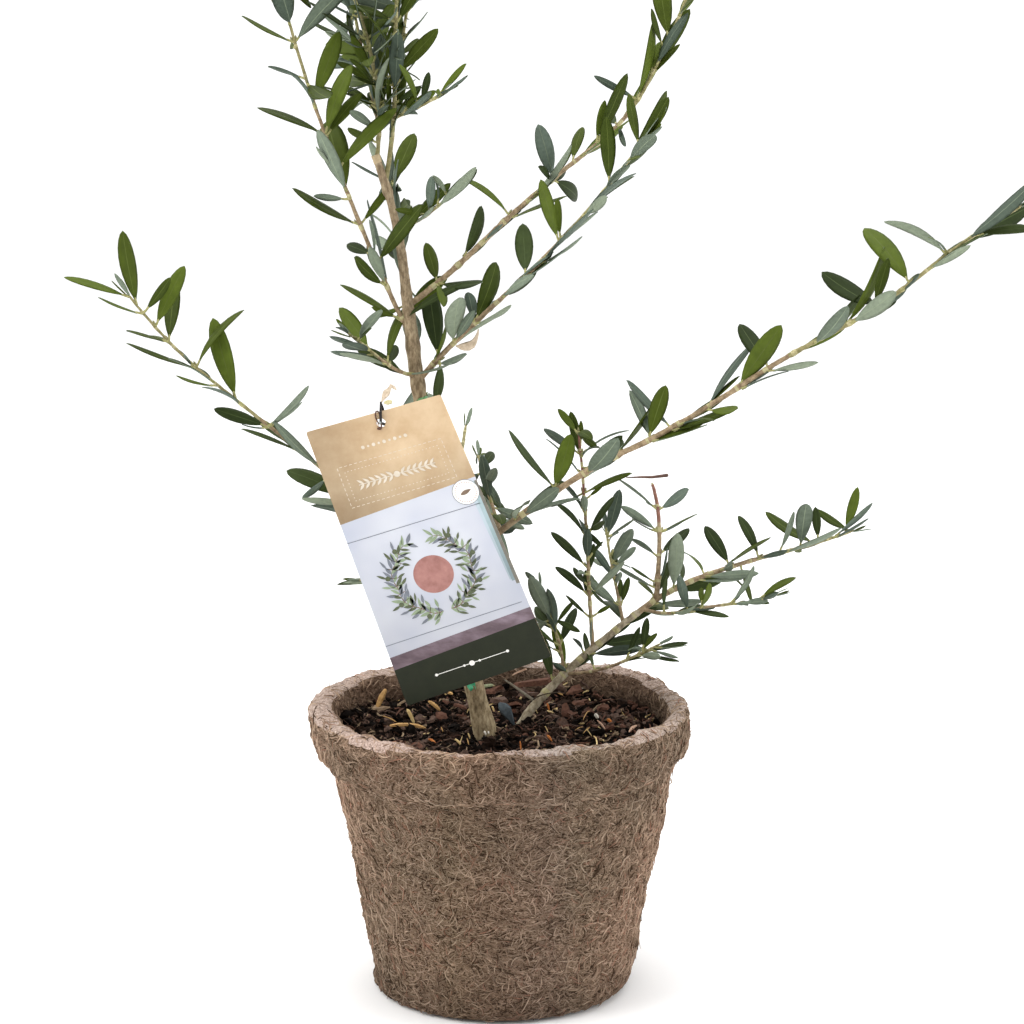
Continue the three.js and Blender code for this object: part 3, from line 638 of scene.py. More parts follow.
SHRED_TONES = [0, 1, 2, 3, 9, 5]
CHIPS = [
    (-45.3, 22.3, 93.6, -41.6, 22.9, 101.6, 1.15, 4), (-40.1, -1.4, 94.0, -26.1, -4.1, 94.2, 0.85, 4), (-30.6, 2.7, 94.0, -33.1, 3.3, 99.2, 0.75, 5),
    (-21.8, 20.9, 94.0, -26.2, 21.5, 97.4, 0.75, 4), (-38.1, 54.6, 94.2, -40.7, 50.8, 96.0, 0.8, 4), (-17.6, 44.4, 94.0, -19.5, 45.9, 94.2, 0.6, 4),
    (-50.0, 39.9, 94.4, -51.2, 33.6, 94.4, 0.45, 7), (-49.1, 31.0, 94.2, -51.7, 31.6, 95.6, 0.35, 7), (-21.4, -27.7, 94.2, -24.8, -18.6, 94.2, 0.45, 6),
    (-13.2, -25.1, 94.0, -15.3, -24.5, 95.8, 0.5, 5), (-10.2, -17.3, 94.0, -10.9, -16.7, 95.8, 0.3, 5), (-10.4, -26.4, 94.0, -11.1, -25.8, 96.5, 0.23, 4),
    (7.6, -32.8, 94.0, 7.3, -32.2, 97.2, 0.3, 6), (18.5, -21.2, 94.0, 16.7, -20.6, 96.2, 0.45, 6), (17.3, -9.4, 94.0, 16.2, -8.8, 96.2, 0.2, 5),
    (18.1, 20.9, 94.0, 17.3, 21.5, 96.7, 0.45, 6), (23.6, 42.9, 94.2, 21.8, 45.9, 94.4, 0.5, 4), (35.6, 9.6, 94.0, 34.4, 10.2, 95.6, 0.72, 7),
    (37.6, -5.4, 94.0, 34.7, -4.8, 97.3, 0.4, 8), (40.4, 2.7, 94.0, 38.6, 3.3, 95.5, 0.65, 6), (44.0, 50.0, 94.2, 42.3, 53.7, 94.6, 0.7, 6),
    (31.5, 47.5, 94.0, 30.7, 48.1, 95.6, 0.5, 7), (45.9, -9.4, 94.2, 49.0, -3.0, 94.8, 0.62, 8), (-2.0, 19.5, 94.0, -2.8, 20.1, 95.9, 0.4, 5),
    (-4.6, -13.4, 94.2, -5.3, -12.8, 95.5, 0.4, 7), (-3.6, -12.1, 94.2, -3.9, -11.5, 95.1, 0.3, 7), (-19.9, -8.1, 94.0, -20.6, -7.5, 95.5, 0.25, 4),
    (29.6, -10.8, 94.0, 32.1, -10.2, 96.2, 0.2, 4), (32.6, -14.7, 94.0, 30.5, -14.1, 96.6, 0.17, 5), (26.8, -8.1, 94.4, 29.8, -4.1, 94.6, 0.17, 4),
    (-36.8, 4.1, 94.0, -42.1, 4.7, 96.3, 0.25, 4), (-35.0, 22.3, 94.4, -37.5, 12.4, 94.4, 0.4, 3), (33.0, 18.1, 94.6, 30.0, 4.1, 94.8, 0.2, 4),
    (-12.0, 22.0, 94.2, -17.0, 25.0, 95.0, 0.9, 3), (13.0, 40.0, 94.2, 17.0, 37.0, 95.2, 1.0, 3), (-28.0, 40.0, 94.2, -24.0, 45.0, 95.0, 0.8, 2),
]
FLAKES = [
    (13.4, 46.0, 98.4, 8.0, 3.2, 4.0, 3), (7.6, 48.0, 102.0, 3.1, 1.1, 10.0, 8), (0.5, 32.0, 95.2, 4.6, 2.4, 30.0, 2), (5.5, 24.0, 95.4, 4.2, 2.2, 140.0, 3),
    (3.5, 16.0, 95.0, 3.4, 1.8, 10.0, 3), (10.5, 37.0, 96.0, 5.2, 2.4, 165.0, 2), (-3.0, 42.0, 96.4, 5.0, 2.4, 20.0, 3), (22.0, 47.0, 97.6, 5.0, 2.2, 170.0, 2),
    (-12.0, 26.0, 94.6, 3.2, 1.6, 60.0, 2), (30.0, 30.0, 94.8, 3.6, 1.7, 20.0, 3), (38.0, 22.0, 94.8, 3.4, 1.6, 150.0, 3), (42.0, 10.0, 94.8, 2.8, 1.4, 80.0, 2),
    (24.0, 20.0, 94.6, 3.2, 1.6, 110.0, 3), (-30.0, 34.0, 94.8, 3.4, 1.6, 15.0, 2), (-20.0, 30.0, 94.8, 2.8, 1.4, 75.0, 3), (20.0, 12.0, 94.4, 2.4, 1.2, 35.0, 2),
    (34.0, -2.0, 94.4, 2.2, 1.1, 130.0, 3), (-40.0, 12.0, 94.4, 3.0, 1.4, 45.0, 2), (-14.0, 12.0, 94.4, 2.4, 1.3, 160.0, 3), (-28.0, -14.0, 94.2, 2.4, 1.2, 70.0, 2),
    (28.0, 44.0, 95.6, 4.2, 1.9, 25.0, 3), (-44.0, 22.0, 94.8, 4.4, 1.7, 5.0, 9), (-36.0, 30.0, 94.8, 4.0, 1.5, 172.0, 9), (-24.0, 8.0, 94.4, 2.6, 1.3, 50.0, 2),
    (4.0, 8.0, 94.4, 2.2, 1.1, 100.0, 3), (44.0, -2.0, 94.6, 2.4, 1.2, 60.0, 3), (12.0, -22.0, 94.0, 2.0, 1.0, 20.0, 2), (-34.0, -4.0, 94.2, 2.6, 1.2, 120.0, 2),
]


make_soil()


# ------------------------------------------------- the plant's limbs and rules
def evenly(values, s):
    if len(values) == 1:
        return values[0]
    f = min(max(s, 0), 1) * (len(values) - 1)
    i = min(int(f), len(values) - 2)
    return values[i] + (values[i + 1] - values[i]) * (f - i)


def grow(start, heading, rise, length):
    """A limb's path. Its heading and rise, in degrees, change evenly between the listed values."""
    n = max(8, int(math.floor(length / 5 + 0.5)))
    points = [np.array(start, float)]
    for i in range(n):
        s = (i + 0.5) / n
        a, e = math.radians(evenly(heading, s)), math.radians(evenly(rise, s))
        points.append(points[-1] + np.array([math.cos(e) * math.cos(a), math.cos(e) * math.sin(a), math.sin(e)]) * length / n)
    return np.array(points)


def along(points, t):
    f = t * (len(points) - 1)
    i = min(max(int(f), 0), len(points) - 2)
    return points[i] + (points[i + 1] - points[i]) * (f - i)


TRUNK = dict(heading=[178.4], rise=[76.2, 78.5, 80.2, 82.7, 84.0, 69.1], length=205.7,
             radii=[4.2, 3.4, 3.2, 3.0, 2.8, 2.65, 2.5, 2.35, 2.3, 2.35, 1.8, 1.5, 1.35, 1.5])
# shoot: parent, place on it, heading, rise, length, radius at its foot and at its tip
SHOOTS = {
    "low_stem": (None, 0, [16.7, 10.1], [50.5, 38.9, 35, 16.9, 11.2, 18.7], 144.6, 1.6, 0.45),
    "leader": ("trunk", 0.95, [26.9, 31.9], [78.6, 88.9, 85.8, 92.2], 107.5, 0.85, 0.45),
    "leader_left": ("trunk", 0.992, [135.9, 132.6], [100.9, 75.8, 61.7, 77.9], 84.3, 0.75, 0.4),
    "leader_right": ("leader", 0.205, [-47.8, -50], [17.3, 16.5, 22.8], 29.8, 0.6, 0.4),
    "leader_back": ("leader", 0.36, [75, 80], [45, 60, 70], 52, 0.65, 0.4),
    "rear_left": ("leader_left", 0.14, [104, 112], [40, 50, 64], 64, 0.65, 0.4),
    "left_bough": ("trunk", 0.236, [-167.3, -166.5], [40.2, 51.1, 39.5, 40.7, 54.6], 156.1, 0.95, 0.4),
    "left_twig": ("trunk", 0.626, [-132.2, -160.3], [7.7, 37.9, 37.5], 31.4, 0.65, 0.45),
    "upper_left": ("trunk", 0.687, [-168.3, -158.5], [63.5, 67.6, 69.8, 74.1, 81.1], 146.8, 0.85, 0.4),
    "outer_right": ("trunk", 0.615, [-15.6, -18.6], [49.6, 41.5, 43.4, 49, 51.9], 115.7, 1, 0.45),
    "inner_right": ("trunk", 0.744, [10.7, 24.5], [34.9, 42.8, 39.5, 35, 60.4, 66, 76.7], 171.7, 1.05, 0.45),
    "short_right": ("trunk", 0.875, [-32.7, -29.9], [9.2, 32.2, 38.8], 25.8, 0.6, 0.4),
    "right_bough": ("trunk", 0.285, [-5.4, -6], [41.3, 36.8, 25.7, 35, 28.2, 40.6, 30.7], 232.4, 1.25, 0.55),
    "side_twig": ("right_bough", 0.101, [104.6, 100], [28, 27.2, 29.7], 44.5, 0.7, 0.4),
    "tag_twig": ("trunk", 0.209, [-177.5, -178.3], [42.3, 18.1, 2.3], 38.1, 0.6, 0.4),
    "back_left": ("trunk", 0.2, [112, 108], [38, 22, 30], 112, 1, 0.45),
    "back_mid": ("trunk", 0.3, [88, 84], [30, 22, 34], 104, 1, 0.45),
    "back_high": ("trunk", 0.72, [98, 104], [45, 45, 60], 62, 0.8, 0.42),
    "low_a": ("low_stem", 0.256, [144.7, 148.3], [84.6, 87.1, 81.9], 78.7, 0.75, 0.4),
    "low_b": ("low_stem", 0.458, [69.8, 105.7], [83.8, 61.4, 50.2, 38.8], 46.9, 1, 0.6),
    "low_c": ("low_stem", 0.355, [104.9, 98.3], [54, 44.4, 45.3], 40.2, 0.6, 0.4),
    "low_d": ("low_stem", 0.16, [-21.6, -21.3], [5.3, 25, 31.8], 40, 0.6, 0.4),
    "low_e": ("low_stem", 0.416, [-17.4, -18.4], [-14.2, 16.6, 8.2, 23.5], 50.9, 0.6, 0.4),
    "low_f": ("low_stem", 0.157, [142.9, 117], [89.7, 60, 54.2], 34.7, 0.6, 0.4),
}

PATHS = {"trunk": grow((-5.0, -7.0, 93.9), TRUNK["heading"], TRUNK["rise"], TRUNK["length"])}
for name, (parent, t, heading, rise, length, r0, r1) in SHOOTS.items():
    start = (7.8, 5.2, 93.9) if parent is None else along(PATHS[parent], t)
    PATHS[name] = grow(start, heading, rise, length)


def smooth_path(points, step):
    """The same path through the same points, finer and without corners."""
    p = np.vstack([2 * points[0] - points[1], points, 2 * points[-1] - points[-2]])
    per = max(1, int(round(np.linalg.norm(points[1] - points[0]) / step)))
    out = []
    for i in range(1, len(p) - 2):
        for k in range(per):
            u = k / per
            a, b, c, d = p[i - 1], p[i], p[i + 1], p[i + 2]
            out.append(0.5 * ((2 * b) + (c - a) * u + (2 * a - 5 * b + 4 * c - d) * u * u + (3 * b - a - 3 * c + d) * u ** 3))
    out.append(points[-1])
    return np.array(out)


# The seeds below were picked by a search made beforehand, bud by bud, so that the
# leaves cover the same ground as those of the plant that this one follows, and
# mostly turn the same side of the blade, green or pale, to the front.
# --- buds: every shoot carries pairs of them, each pair a quarter turn from the
# last, and between each pair and the shoot a smaller pair may open. A pair is
# decided by three seeds: one for how the pair sits, one for each of its leaves.
PLAIN = dict(light=0.3, shift=3.2, lost=0.07, fat=0.24, short=0.6, petiole=1.6, ax_leaf=0.64, ax_lost=0.38)
# shoot: its leaf length and opening, the pairs, the first one's place, the
# first gap against the last, and the first pair's turn
STYLES = {
    "left_bough": dict(leaf=22.13, open=42.38, n=12, first=35.27, ratio=2.27, phase=15, fat=0.207),
    "left_twig": dict(leaf=19, open=46, n=5, first=6, ratio=1.4, phase=0, fat=0.24),
    "tag_twig": dict(leaf=14.71, open=25.7, n=3, first=17.81, ratio=0.98, phase=15, fat=0.215),
    "back_left": dict(leaf=21.62, open=49.59, n=8, first=26.07, ratio=1.13, phase=30, fat=0.233),
    "right_bough": dict(leaf=25.41, open=36.05, n=19, first=33.24, ratio=1.46, phase=0, fat=0.273),
    "side_twig": dict(leaf=19.03, open=44.22, n=6, first=7.73, ratio=1.39, phase=60, fat=0.24),
    "upper_left": dict(leaf=25.06, open=43.85, n=14, first=8.47, ratio=1.2, phase=30, fat=0.254),
    "leader": dict(leaf=20.43, open=37.42, n=17, first=16.42, ratio=1.08, phase=15, fat=0.22),
    "leader_left": dict(leaf=20.86, open=39.07, n=15, first=8.71, ratio=0.76, phase=60, fat=0.215),
    "leader_right": dict(leaf=16.27, open=37.31, n=4, first=6.76, ratio=1.21, phase=60, fat=0.212),
    "rear_left": dict(leaf=18, open=44, n=10, first=8, ratio=1.2, phase=0, fat=0.215),
    "leader_back": dict(leaf=18, open=44, n=9, first=8, ratio=1.2, phase=0, fat=0.21),
    "inner_right": dict(leaf=20.89, open=46.06, n=16, first=11.31, ratio=1.07, phase=0, fat=0.239),
    "outer_right": dict(leaf=21.9, open=41.07, n=11, first=8.71, ratio=0.99, phase=60, fat=0.26),
    "short_right": dict(leaf=16.14, open=44.06, n=4, first=7.54, ratio=0.99, phase=0, fat=0.239),
    "back_mid": dict(leaf=22.37, open=45.16, n=12, first=25.29, ratio=1.07, phase=45, fat=0.24),
    "back_high": dict(leaf=20.73, open=46.82, n=8, first=7.72, ratio=1.66, phase=15, fat=0.24),
    "low_stem": dict(leaf=18.25, open=45.83, n=17, first=16.57, ratio=1.2, phase=30, fat=0.231),
    "low_a": dict(leaf=15.41, open=46.9, n=13, first=10.92, ratio=0.97, phase=15, fat=0.213),
    "low_b": dict(leaf=14.34, open=46.64, n=5, first=7.09, ratio=0.91, phase=60, fat=0.25),
    "low_c": dict(leaf=13.23, open=50.67, n=6, first=9.17, ratio=1.27, phase=75, fat=0.274),
    "low_d": dict(leaf=14.51, open=32.47, n=6, first=10.69, ratio=1.48, phase=45, fat=0.272),
    "low_e": dict(leaf=15, open=36, n=7, first=8, ratio=1.2, phase=0, fat=0.24),
    "low_f": dict(leaf=14.11, open=45.96, n=6, first=8.35, ratio=1.03, phase=0, fat=0.259),
}
# shoot: the seeds of its main pairs, then of the small pairs in their axils
SEEDS = {
    "left_bough": [
        (13, 8, 2102), (56, 8, 4235), (4, 2468, 931), (44, 810, 8), (66, 4565, 2625), (8, 21, 8), (36, 2929, 1589), (3, 2807, 122),
        (27, 1428, 1382), (17, 23, 8), (67, 234, 8), (41, 2804, 8), (64, 0, 0), (26, 0, 3319), (1, 3257, 0), (52, 0, 2358),
        (3, 473, 205), (43, 311, 788), (28, 54, 0), (13, 1754, 2140), (27, 0, 2105), (66, 2775, 0), (33, 1560, 4117), (64, 0, 0),
    ],
    "left_twig": [
        (41, 8, 2476), (45, 3099, 500), (4, 4049, 510), (56, 8, 179), (65, 2033, 8), (70, 2258, 855), (24, 178, 0), (69, 1876, 0),
        (6, 2644, 0), (22, 410, 0),
    ],
    "tag_twig": [
        (64, 8, 8), (50, 4570, 2432), (64, 8, 8), (64, 0, 0), (64, 0, 0), (64, 0, 0),
    ],
    "back_left": [
        (64, 0, 0), (64, 0, 0), (64, 0, 0), (40, 72, 0), (64, 0, 0), (64, 8, 8), (7, 8, 132), (15, 8, 3898), (64, 11, 11),
        (64, 11, 11), (64, 11, 11), (64, 11, 11), (64, 11, 11), (64, 0, 0), (64, 0, 0), (64, 0, 0),
    ],
    "right_bough": [
        (60, 1788, 3476), (18, 8, 4947), (18, 2071, 3279), (59, 2028, 8), (49, 1170, 64), (25, 4297, 1333), (66, 1696, 8),
        (17, 3048, 1433), (69, 8, 1418), (64, 8, 8), (11, 2070, 53), (6, 2788, 8), (66, 8, 3859), (63, 8, 4036), (5, 1499, 2236),
        (61, 2282, 8), (58, 4072, 242), (64, 8, 8), (64, 8, 8), (47, 1797, 4908), (27, 0, 2602), (64, 0, 0), (7, 0, 4065),
        (13, 1288, 3747), (69, 671, 4946), (58, 3977, 1077), (17, 0, 97), (69, 4065, 0), (49, 1458, 0), (4, 452, 0), (57, 1009, 3040),
        (65, 4495, 343), (33, 3617, 205), (56, 1217, 4401), (68, 1233, 0), (35, 3179, 0), (64, 0, 0), (64, 0, 0),
    ],
    "side_twig": [
        (26, 4887, 2937), (21, 4360, 8), (37, 8, 2703), (66, 8, 2258), (11, 8, 1184), (35, 3561, 8), (34, 2253, 3881), (23, 34, 3260),
        (64, 0, 0), (63, 0, 3304), (39, 977, 0), (8, 2342, 0),
    ],
    "upper_left": [
        (43, 1553, 14), (0, 3625, 1110), (33, 8, 3545), (37, 71, 8), (71, 1128, 4835), (47, 782, 8), (52, 2153, 4008), (46, 8, 1761),
        (70, 3454, 8), (36, 6, 4773), (64, 4207, 471), (64, 8, 8), (64, 8, 8), (64, 8, 8), (52, 3362, 3550), (35, 148, 215),
        (67, 1037, 1476), (27, 0, 3989), (21, 0, 4625), (64, 0, 751), (31, 0, 528), (39, 1220, 2427), (48, 0, 4473), (65, 4980, 0),
        (64, 0, 0), (67, 0, 2519), (64, 0, 0), (64, 0, 0),
    ],
    "leader": [
        (25, 1209, 4868), (65, 2205, 4998), (4, 1547, 2731), (4, 1362, 4144), (4, 2120, 4625), (1, 907, 4969), (20, 4072, 2079),
        (70, 4182, 494), (70, 815, 737), (48, 72, 1559), (50, 3147, 997), (31, 19, 1096), (35, 3335, 1361), (42, 0, 19), (62, 2, 11),
        (47, 1, 1), (11, 36, 57), (67, 2458, 2683), (26, 4572, 137), (48, 880, 88), (15, 231, 1454), (58, 1116, 2397),
        (46, 2080, 1233), (27, 3251, 796), (24, 2160, 3062), (27, 31, 9), (63, 16, 48), (26, 796, 129), (49, 4917, 815),
        (26, 796, 246), (45, 9, 64), (42, 2, 26), (9, 1, 1), (40, 1, 22),
    ],
    "leader_left": [
        (64, 8, 3842), (0, 175, 3014), (34, 4041, 2235), (71, 564, 781), (32, 3173, 22), (24, 126, 3071), (42, 2931, 4162),
        (58, 3811, 2911), (22, 4262, 677), (7, 2935, 620), (7, 850, 1684), (8, 28, 1), (4, 417, 145), (63, 791, 3), (8, 11, 1),
        (35, 1919, 2516), (28, 2367, 4176), (51, 3132, 3340), (22, 173, 834), (5, 1848, 4857), (30, 2811, 1999), (49, 2535, 3145),
        (60, 4857, 467), (17, 1362, 50), (4, 3614, 1650), (63, 2697, 4168), (8, 97, 21), (11, 67, 40), (13, 54, 2592), (9, 113, 11),
    ],
    "leader_right": [
        (19, 1107, 104), (47, 8, 4778), (8, 135, 8), (1, 2816, 3242), (51, 2300, 2640), (69, 2460, 0), (0, 4174, 34), (40, 2681, 384),
    ],
    "rear_left": [
        (44, 1665, 127), (19, 2490, 1011), (43, 15, 2560), (63, 1484, 25), (59, 3854, 4103), (14, 1370, 1240), (23, 2189, 497),
        (38, 2823, 787), (61, 0, 660), (64, 0, 0), (43, 2927, 2743), (49, 1403, 1432), (34, 2578, 2865), (27, 665, 2879),
        (52, 1698, 2044), (30, 3478, 252), (56, 2512, 235), (14, 140, 16), (64, 16, 2095), (65, 1823, 16),
    ],
    "leader_back": [
        (46, 737, 3699), (26, 3827, 3153), (5, 1066, 2440), (23, 3800, 3945), (61, 4889, 3974), (7, 41, 1322), (8, 3345, 64),
        (11, 2971, 1910), (8, 18, 11), (15, 3077, 4160), (17, 3203, 10), (19, 38, 2221), (20, 2257, 2697), (11, 48, 1843),
        (7, 4923, 10), (9, 85, 88), (47, 11, 403), (44, 11, 99),
    ],
    "inner_right": [
        (7, 1596, 3527), (4, 8, 119), (40, 3444, 8), (8, 655, 556), (4, 2118, 2189), (49, 1087, 1416), (8, 2988, 1219), (31, 272, 8),
        (35, 8, 1458), (30, 8, 43), (46, 1107, 770), (22, 1849, 8), (17, 1731, 4958), (64, 8, 8), (64, 8, 8), (64, 8, 8),
        (63, 3185, 0), (69, 3736, 0), (59, 891, 2098), (30, 0, 4720), (64, 1122, 0), (44, 4789, 2877), (3, 2880, 0), (15, 4956, 0),
        (25, 4352, 4667), (62, 0, 2287), (1, 2525, 1027), (60, 2124, 0), (64, 0, 0), (64, 0, 0), (64, 0, 0), (64, 0, 0),
    ],
    "outer_right": [
        (8, 10, 988), (32, 4269, 1314), (9, 0, 4837), (35, 1381, 1437), (63, 4404, 276), (34, 2523, 2681), (14, 2771, 8),
        (0, 2501, 2973), (4, 8, 261), (7, 795, 802), (12, 3359, 8), (34, 841, 133), (54, 2196, 113), (24, 2922, 0), (40, 0, 1223),
        (13, 3163, 2027), (65, 0, 1928), (6, 817, 123), (28, 3204, 2654), (30, 4174, 2196), (25, 142, 3610), (63, 4215, 4679),
    ],
    "short_right": [
        (33, 8, 626), (69, 8, 160), (2, 1537, 190), (64, 8, 8), (26, 3434, 158), (23, 0, 3440), (43, 4562, 0), (25, 2934, 0),
    ],
    "back_mid": [
        (43, 2752, 0), (38, 2877, 0), (9, 0, 102), (11, 0, 1201), (33, 121, 0), (29, 40, 1382), (67, 11, 646), (58, 3375, 8),
        (64, 8, 8), (13, 4363, 1445), (17, 3298, 8), (64, 8, 8), (64, 11, 11), (64, 11, 11), (64, 11, 24), (64, 11, 11), (44, 24, 11),
        (27, 48, 11), (49, 33, 1052), (64, 0, 0), (64, 0, 0), (64, 0, 0), (67, 3265, 0), (64, 0, 0),
    ],
    "back_high": [
        (6, 11, 143), (33, 2770, 24), (46, 1107, 2222), (51, 4436, 998), (60, 811, 1927), (43, 468, 1768), (22, 1551, 2662),
        (2, 2285, 3540), (44, 1484, 3466), (1, 2348, 460), (54, 1622, 99), (9, 17, 11), (56, 723, 1716), (39, 2209, 11),
        (71, 2450, 2095), (1, 3263, 3858),
    ],
    "low_stem": [
        (7, 8, 1291), (9, 8, 1302), (0, 8, 4520), (39, 8, 790), (17, 8, 3666), (66, 0, 8), (1, 4539, 692), (14, 1557, 1039),
        (8, 135, 4934), (63, 1066, 2359), (1, 4250, 8), (59, 1368, 8), (67, 1810, 3608), (36, 8, 3800), (23, 3303, 8), (40, 1356, 8),
        (1, 8, 195), (64, 0, 0), (68, 4640, 2287), (43, 1573, 34), (28, 0, 4640), (24, 3415, 0), (67, 2263, 0), (51, 1633, 0),
        (49, 0, 72), (32, 3858, 0), (8, 4799, 318), (5, 0, 2991), (2, 87, 4901), (35, 0, 4166), (21, 1770, 0), (4, 155, 0),
        (68, 1927, 670), (19, 0, 2258),
    ],
    "low_a": [
        (40, 3109, 4031), (63, 594, 1158), (8, 8, 4230), (56, 3049, 8), (16, 413, 1834), (10, 2075, 16), (53, 8, 2594), (9, 2410, 8),
        (69, 4438, 2011), (54, 1826, 321), (8, 480, 4447), (14, 2659, 1068), (36, 3771, 8), (7, 2259, 2925), (69, 4656, 0),
        (22, 4184, 4696), (28, 388, 2644), (30, 4074, 0), (1, 2445, 788), (51, 2654, 4465), (1, 4808, 1767), (1, 4913, 0),
        (63, 2869, 0), (1, 0, 4117), (4, 0, 2515), (9, 3492, 3019),
    ],
    "low_b": [
        (1, 8, 2728), (50, 790, 8), (30, 2588, 465), (15, 3556, 1901), (64, 8, 8), (12, 3608, 4707), (33, 3714, 0), (68, 78, 4425),
        (29, 0, 1463), (64, 0, 0),
    ],
    "low_c": [
        (33, 4297, 989), (46, 4131, 2272), (56, 8, 988), (64, 8, 2547), (22, 183, 8), (51, 113, 8), (44, 849, 0), (40, 0, 4513),
        (67, 1498, 1986), (57, 2034, 0), (13, 2715, 0), (60, 1207, 106),
    ],
    "low_d": [
        (36, 8, 2455), (7, 63, 8), (29, 3849, 8), (8, 532, 41), (1, 791, 4553), (51, 5, 8), (64, 0, 0), (38, 1224, 0), (53, 0, 260),
        (66, 2084, 1014), (50, 2572, 0), (64, 0, 0),
    ],
    "low_e": [
        (4, 1957, 4447), (69, 2657, 3362), (15, 8, 2789), (22, 3956, 8), (11, 2667, 3497), (26, 8, 2233), (64, 8, 8), (57, 0, 40),
        (7, 116, 1335), (61, 2022, 0), (13, 0, 28), (55, 1797, 119), (66, 171, 524), (64, 0, 0),
    ],
    "low_f": [
        (27, 3370, 4319), (27, 1239, 4722), (36, 811, 1007), (64, 4711, 3611), (64, 8, 8), (64, 8, 8), (66, 0, 1066), (49, 720, 1783),
        (33, 4050, 3547), (64, 0, 0), (64, 0, 0), (44, 0, 4238),
    ],
}


def draw_turn(seed):
    r = random.Random(1000 + seed)
    return r.uniform(-45, 45), r.uniform(-1, 1)


def draw_leaf(seed):
    r = random.Random(5000 + seed)
    leaf = dict(keep=r.random(), size=r.triangular(0.55, 1.3, 1.0), open=r.uniform(-30, 34), twist=r.uniform(-85, 85),
                bend=r.uniform(-28, 38), fat=r.uniform(0.72, 1.5), tone=r.random())
    if leaf["keep"] > 0.85:
        # about one leaf in seven is thrown back
        leaf["open"] += 58
    leaf["fat"] = min(leaf["fat"], 1.25)
    return leaf


STATIONS = (0, 0.05, 0.13, 0.24, 0.37, 0.5, 0.63, 0.76, 0.87, 0.95, 1.0)
SKYWARD = np.array([0, -0.35, 0.94])


def blade_width(s):
    return (s ** 0.8) * ((1 - s) ** 0.62) / 0.3795


def turn(v, axis, angle):
    return v * math.cos(angle) + np.cross(axis, v) * math.sin(angle) + axis * (axis @ v) * (1 - math.cos(angle))


def frame_at(points, t):
    """The shoot's direction at t, and two directions square to it."""
    ahead = unit(along(points, min(t + 0.03, 1)) - along(points, max(t - 0.03, 0)))
    front = np.array([0, -1.0, 0])
    n = front - ahead * (front @ ahead)
    if np.linalg.norm(n) < 0.2:
        up = np.array([0, 0, 1.0])
        n = up - ahead * (up @ ahead)
    n = unit(n)
    return ahead, n, np.cross(ahead, n)


def bud_places(style, length):
    n = style["n"]
    a, b = style["first"] / length, 1 - style["short"] / length
    if n < 2:
        return [a]
    gaps = np.linspace(style["ratio"], 1, n - 1)
    return [float(a + (b - a) * x) for x in np.r_[0, np.cumsum(gaps) / gaps.sum()]]


def buds_of(name):
    length = SHOOTS[name][4]
    style = dict(PLAIN, **STYLES[name])
    small = dict(style, leaf=style["leaf"] * style["ax_leaf"], lost=style["ax_lost"], open=style["open"] * 0.8,
                 phase=style["phase"] + 45, shift=1.2)
    places = bud_places(style, length)
    return [(t, k, style) for k, t in enumerate(places)] + [(t, k, small) for k, t in enumerate(places)]


def leaf_line(at, ahead, side, style, leaf, radius):
    """The middle line of a leaf: points, directions, upward normals, the way across and half widths."""
    a = math.radians(style["open"] + leaf["open"])
    d = unit(ahead * math.cos(a) + side * math.sin(a))
    n = unit(ahead * math.sin(a) - side * math.cos(a))
    m = n * (1 - style["light"]) + SKYWARD * style["light"]
    m = m - d * m.dot(d)
    if np.linalg.norm(m) > 0.15:
        n = unit(m)
    n = turn(n, d, math.radians(leaf["twist"]))
    w = np.cross(d, n)
    length = style["leaf"] * leaf["size"]
    p = at + side * radius * 0.8 + d * style["petiole"]
    line = []
    for k, s in enumerate(STATIONS):
        b = math.radians(leaf["bend"]) * (s ** 1.2)
        dd = d * math.cos(b) - n * math.sin(b)
        if k:
            p = p + dd * length * (s - STATIONS[k - 1])
        line.append((p, dd, np.cross(w, dd), w, blade_width(s) * length * style["fat"] * leaf["fat"] * 0.5))
    return line


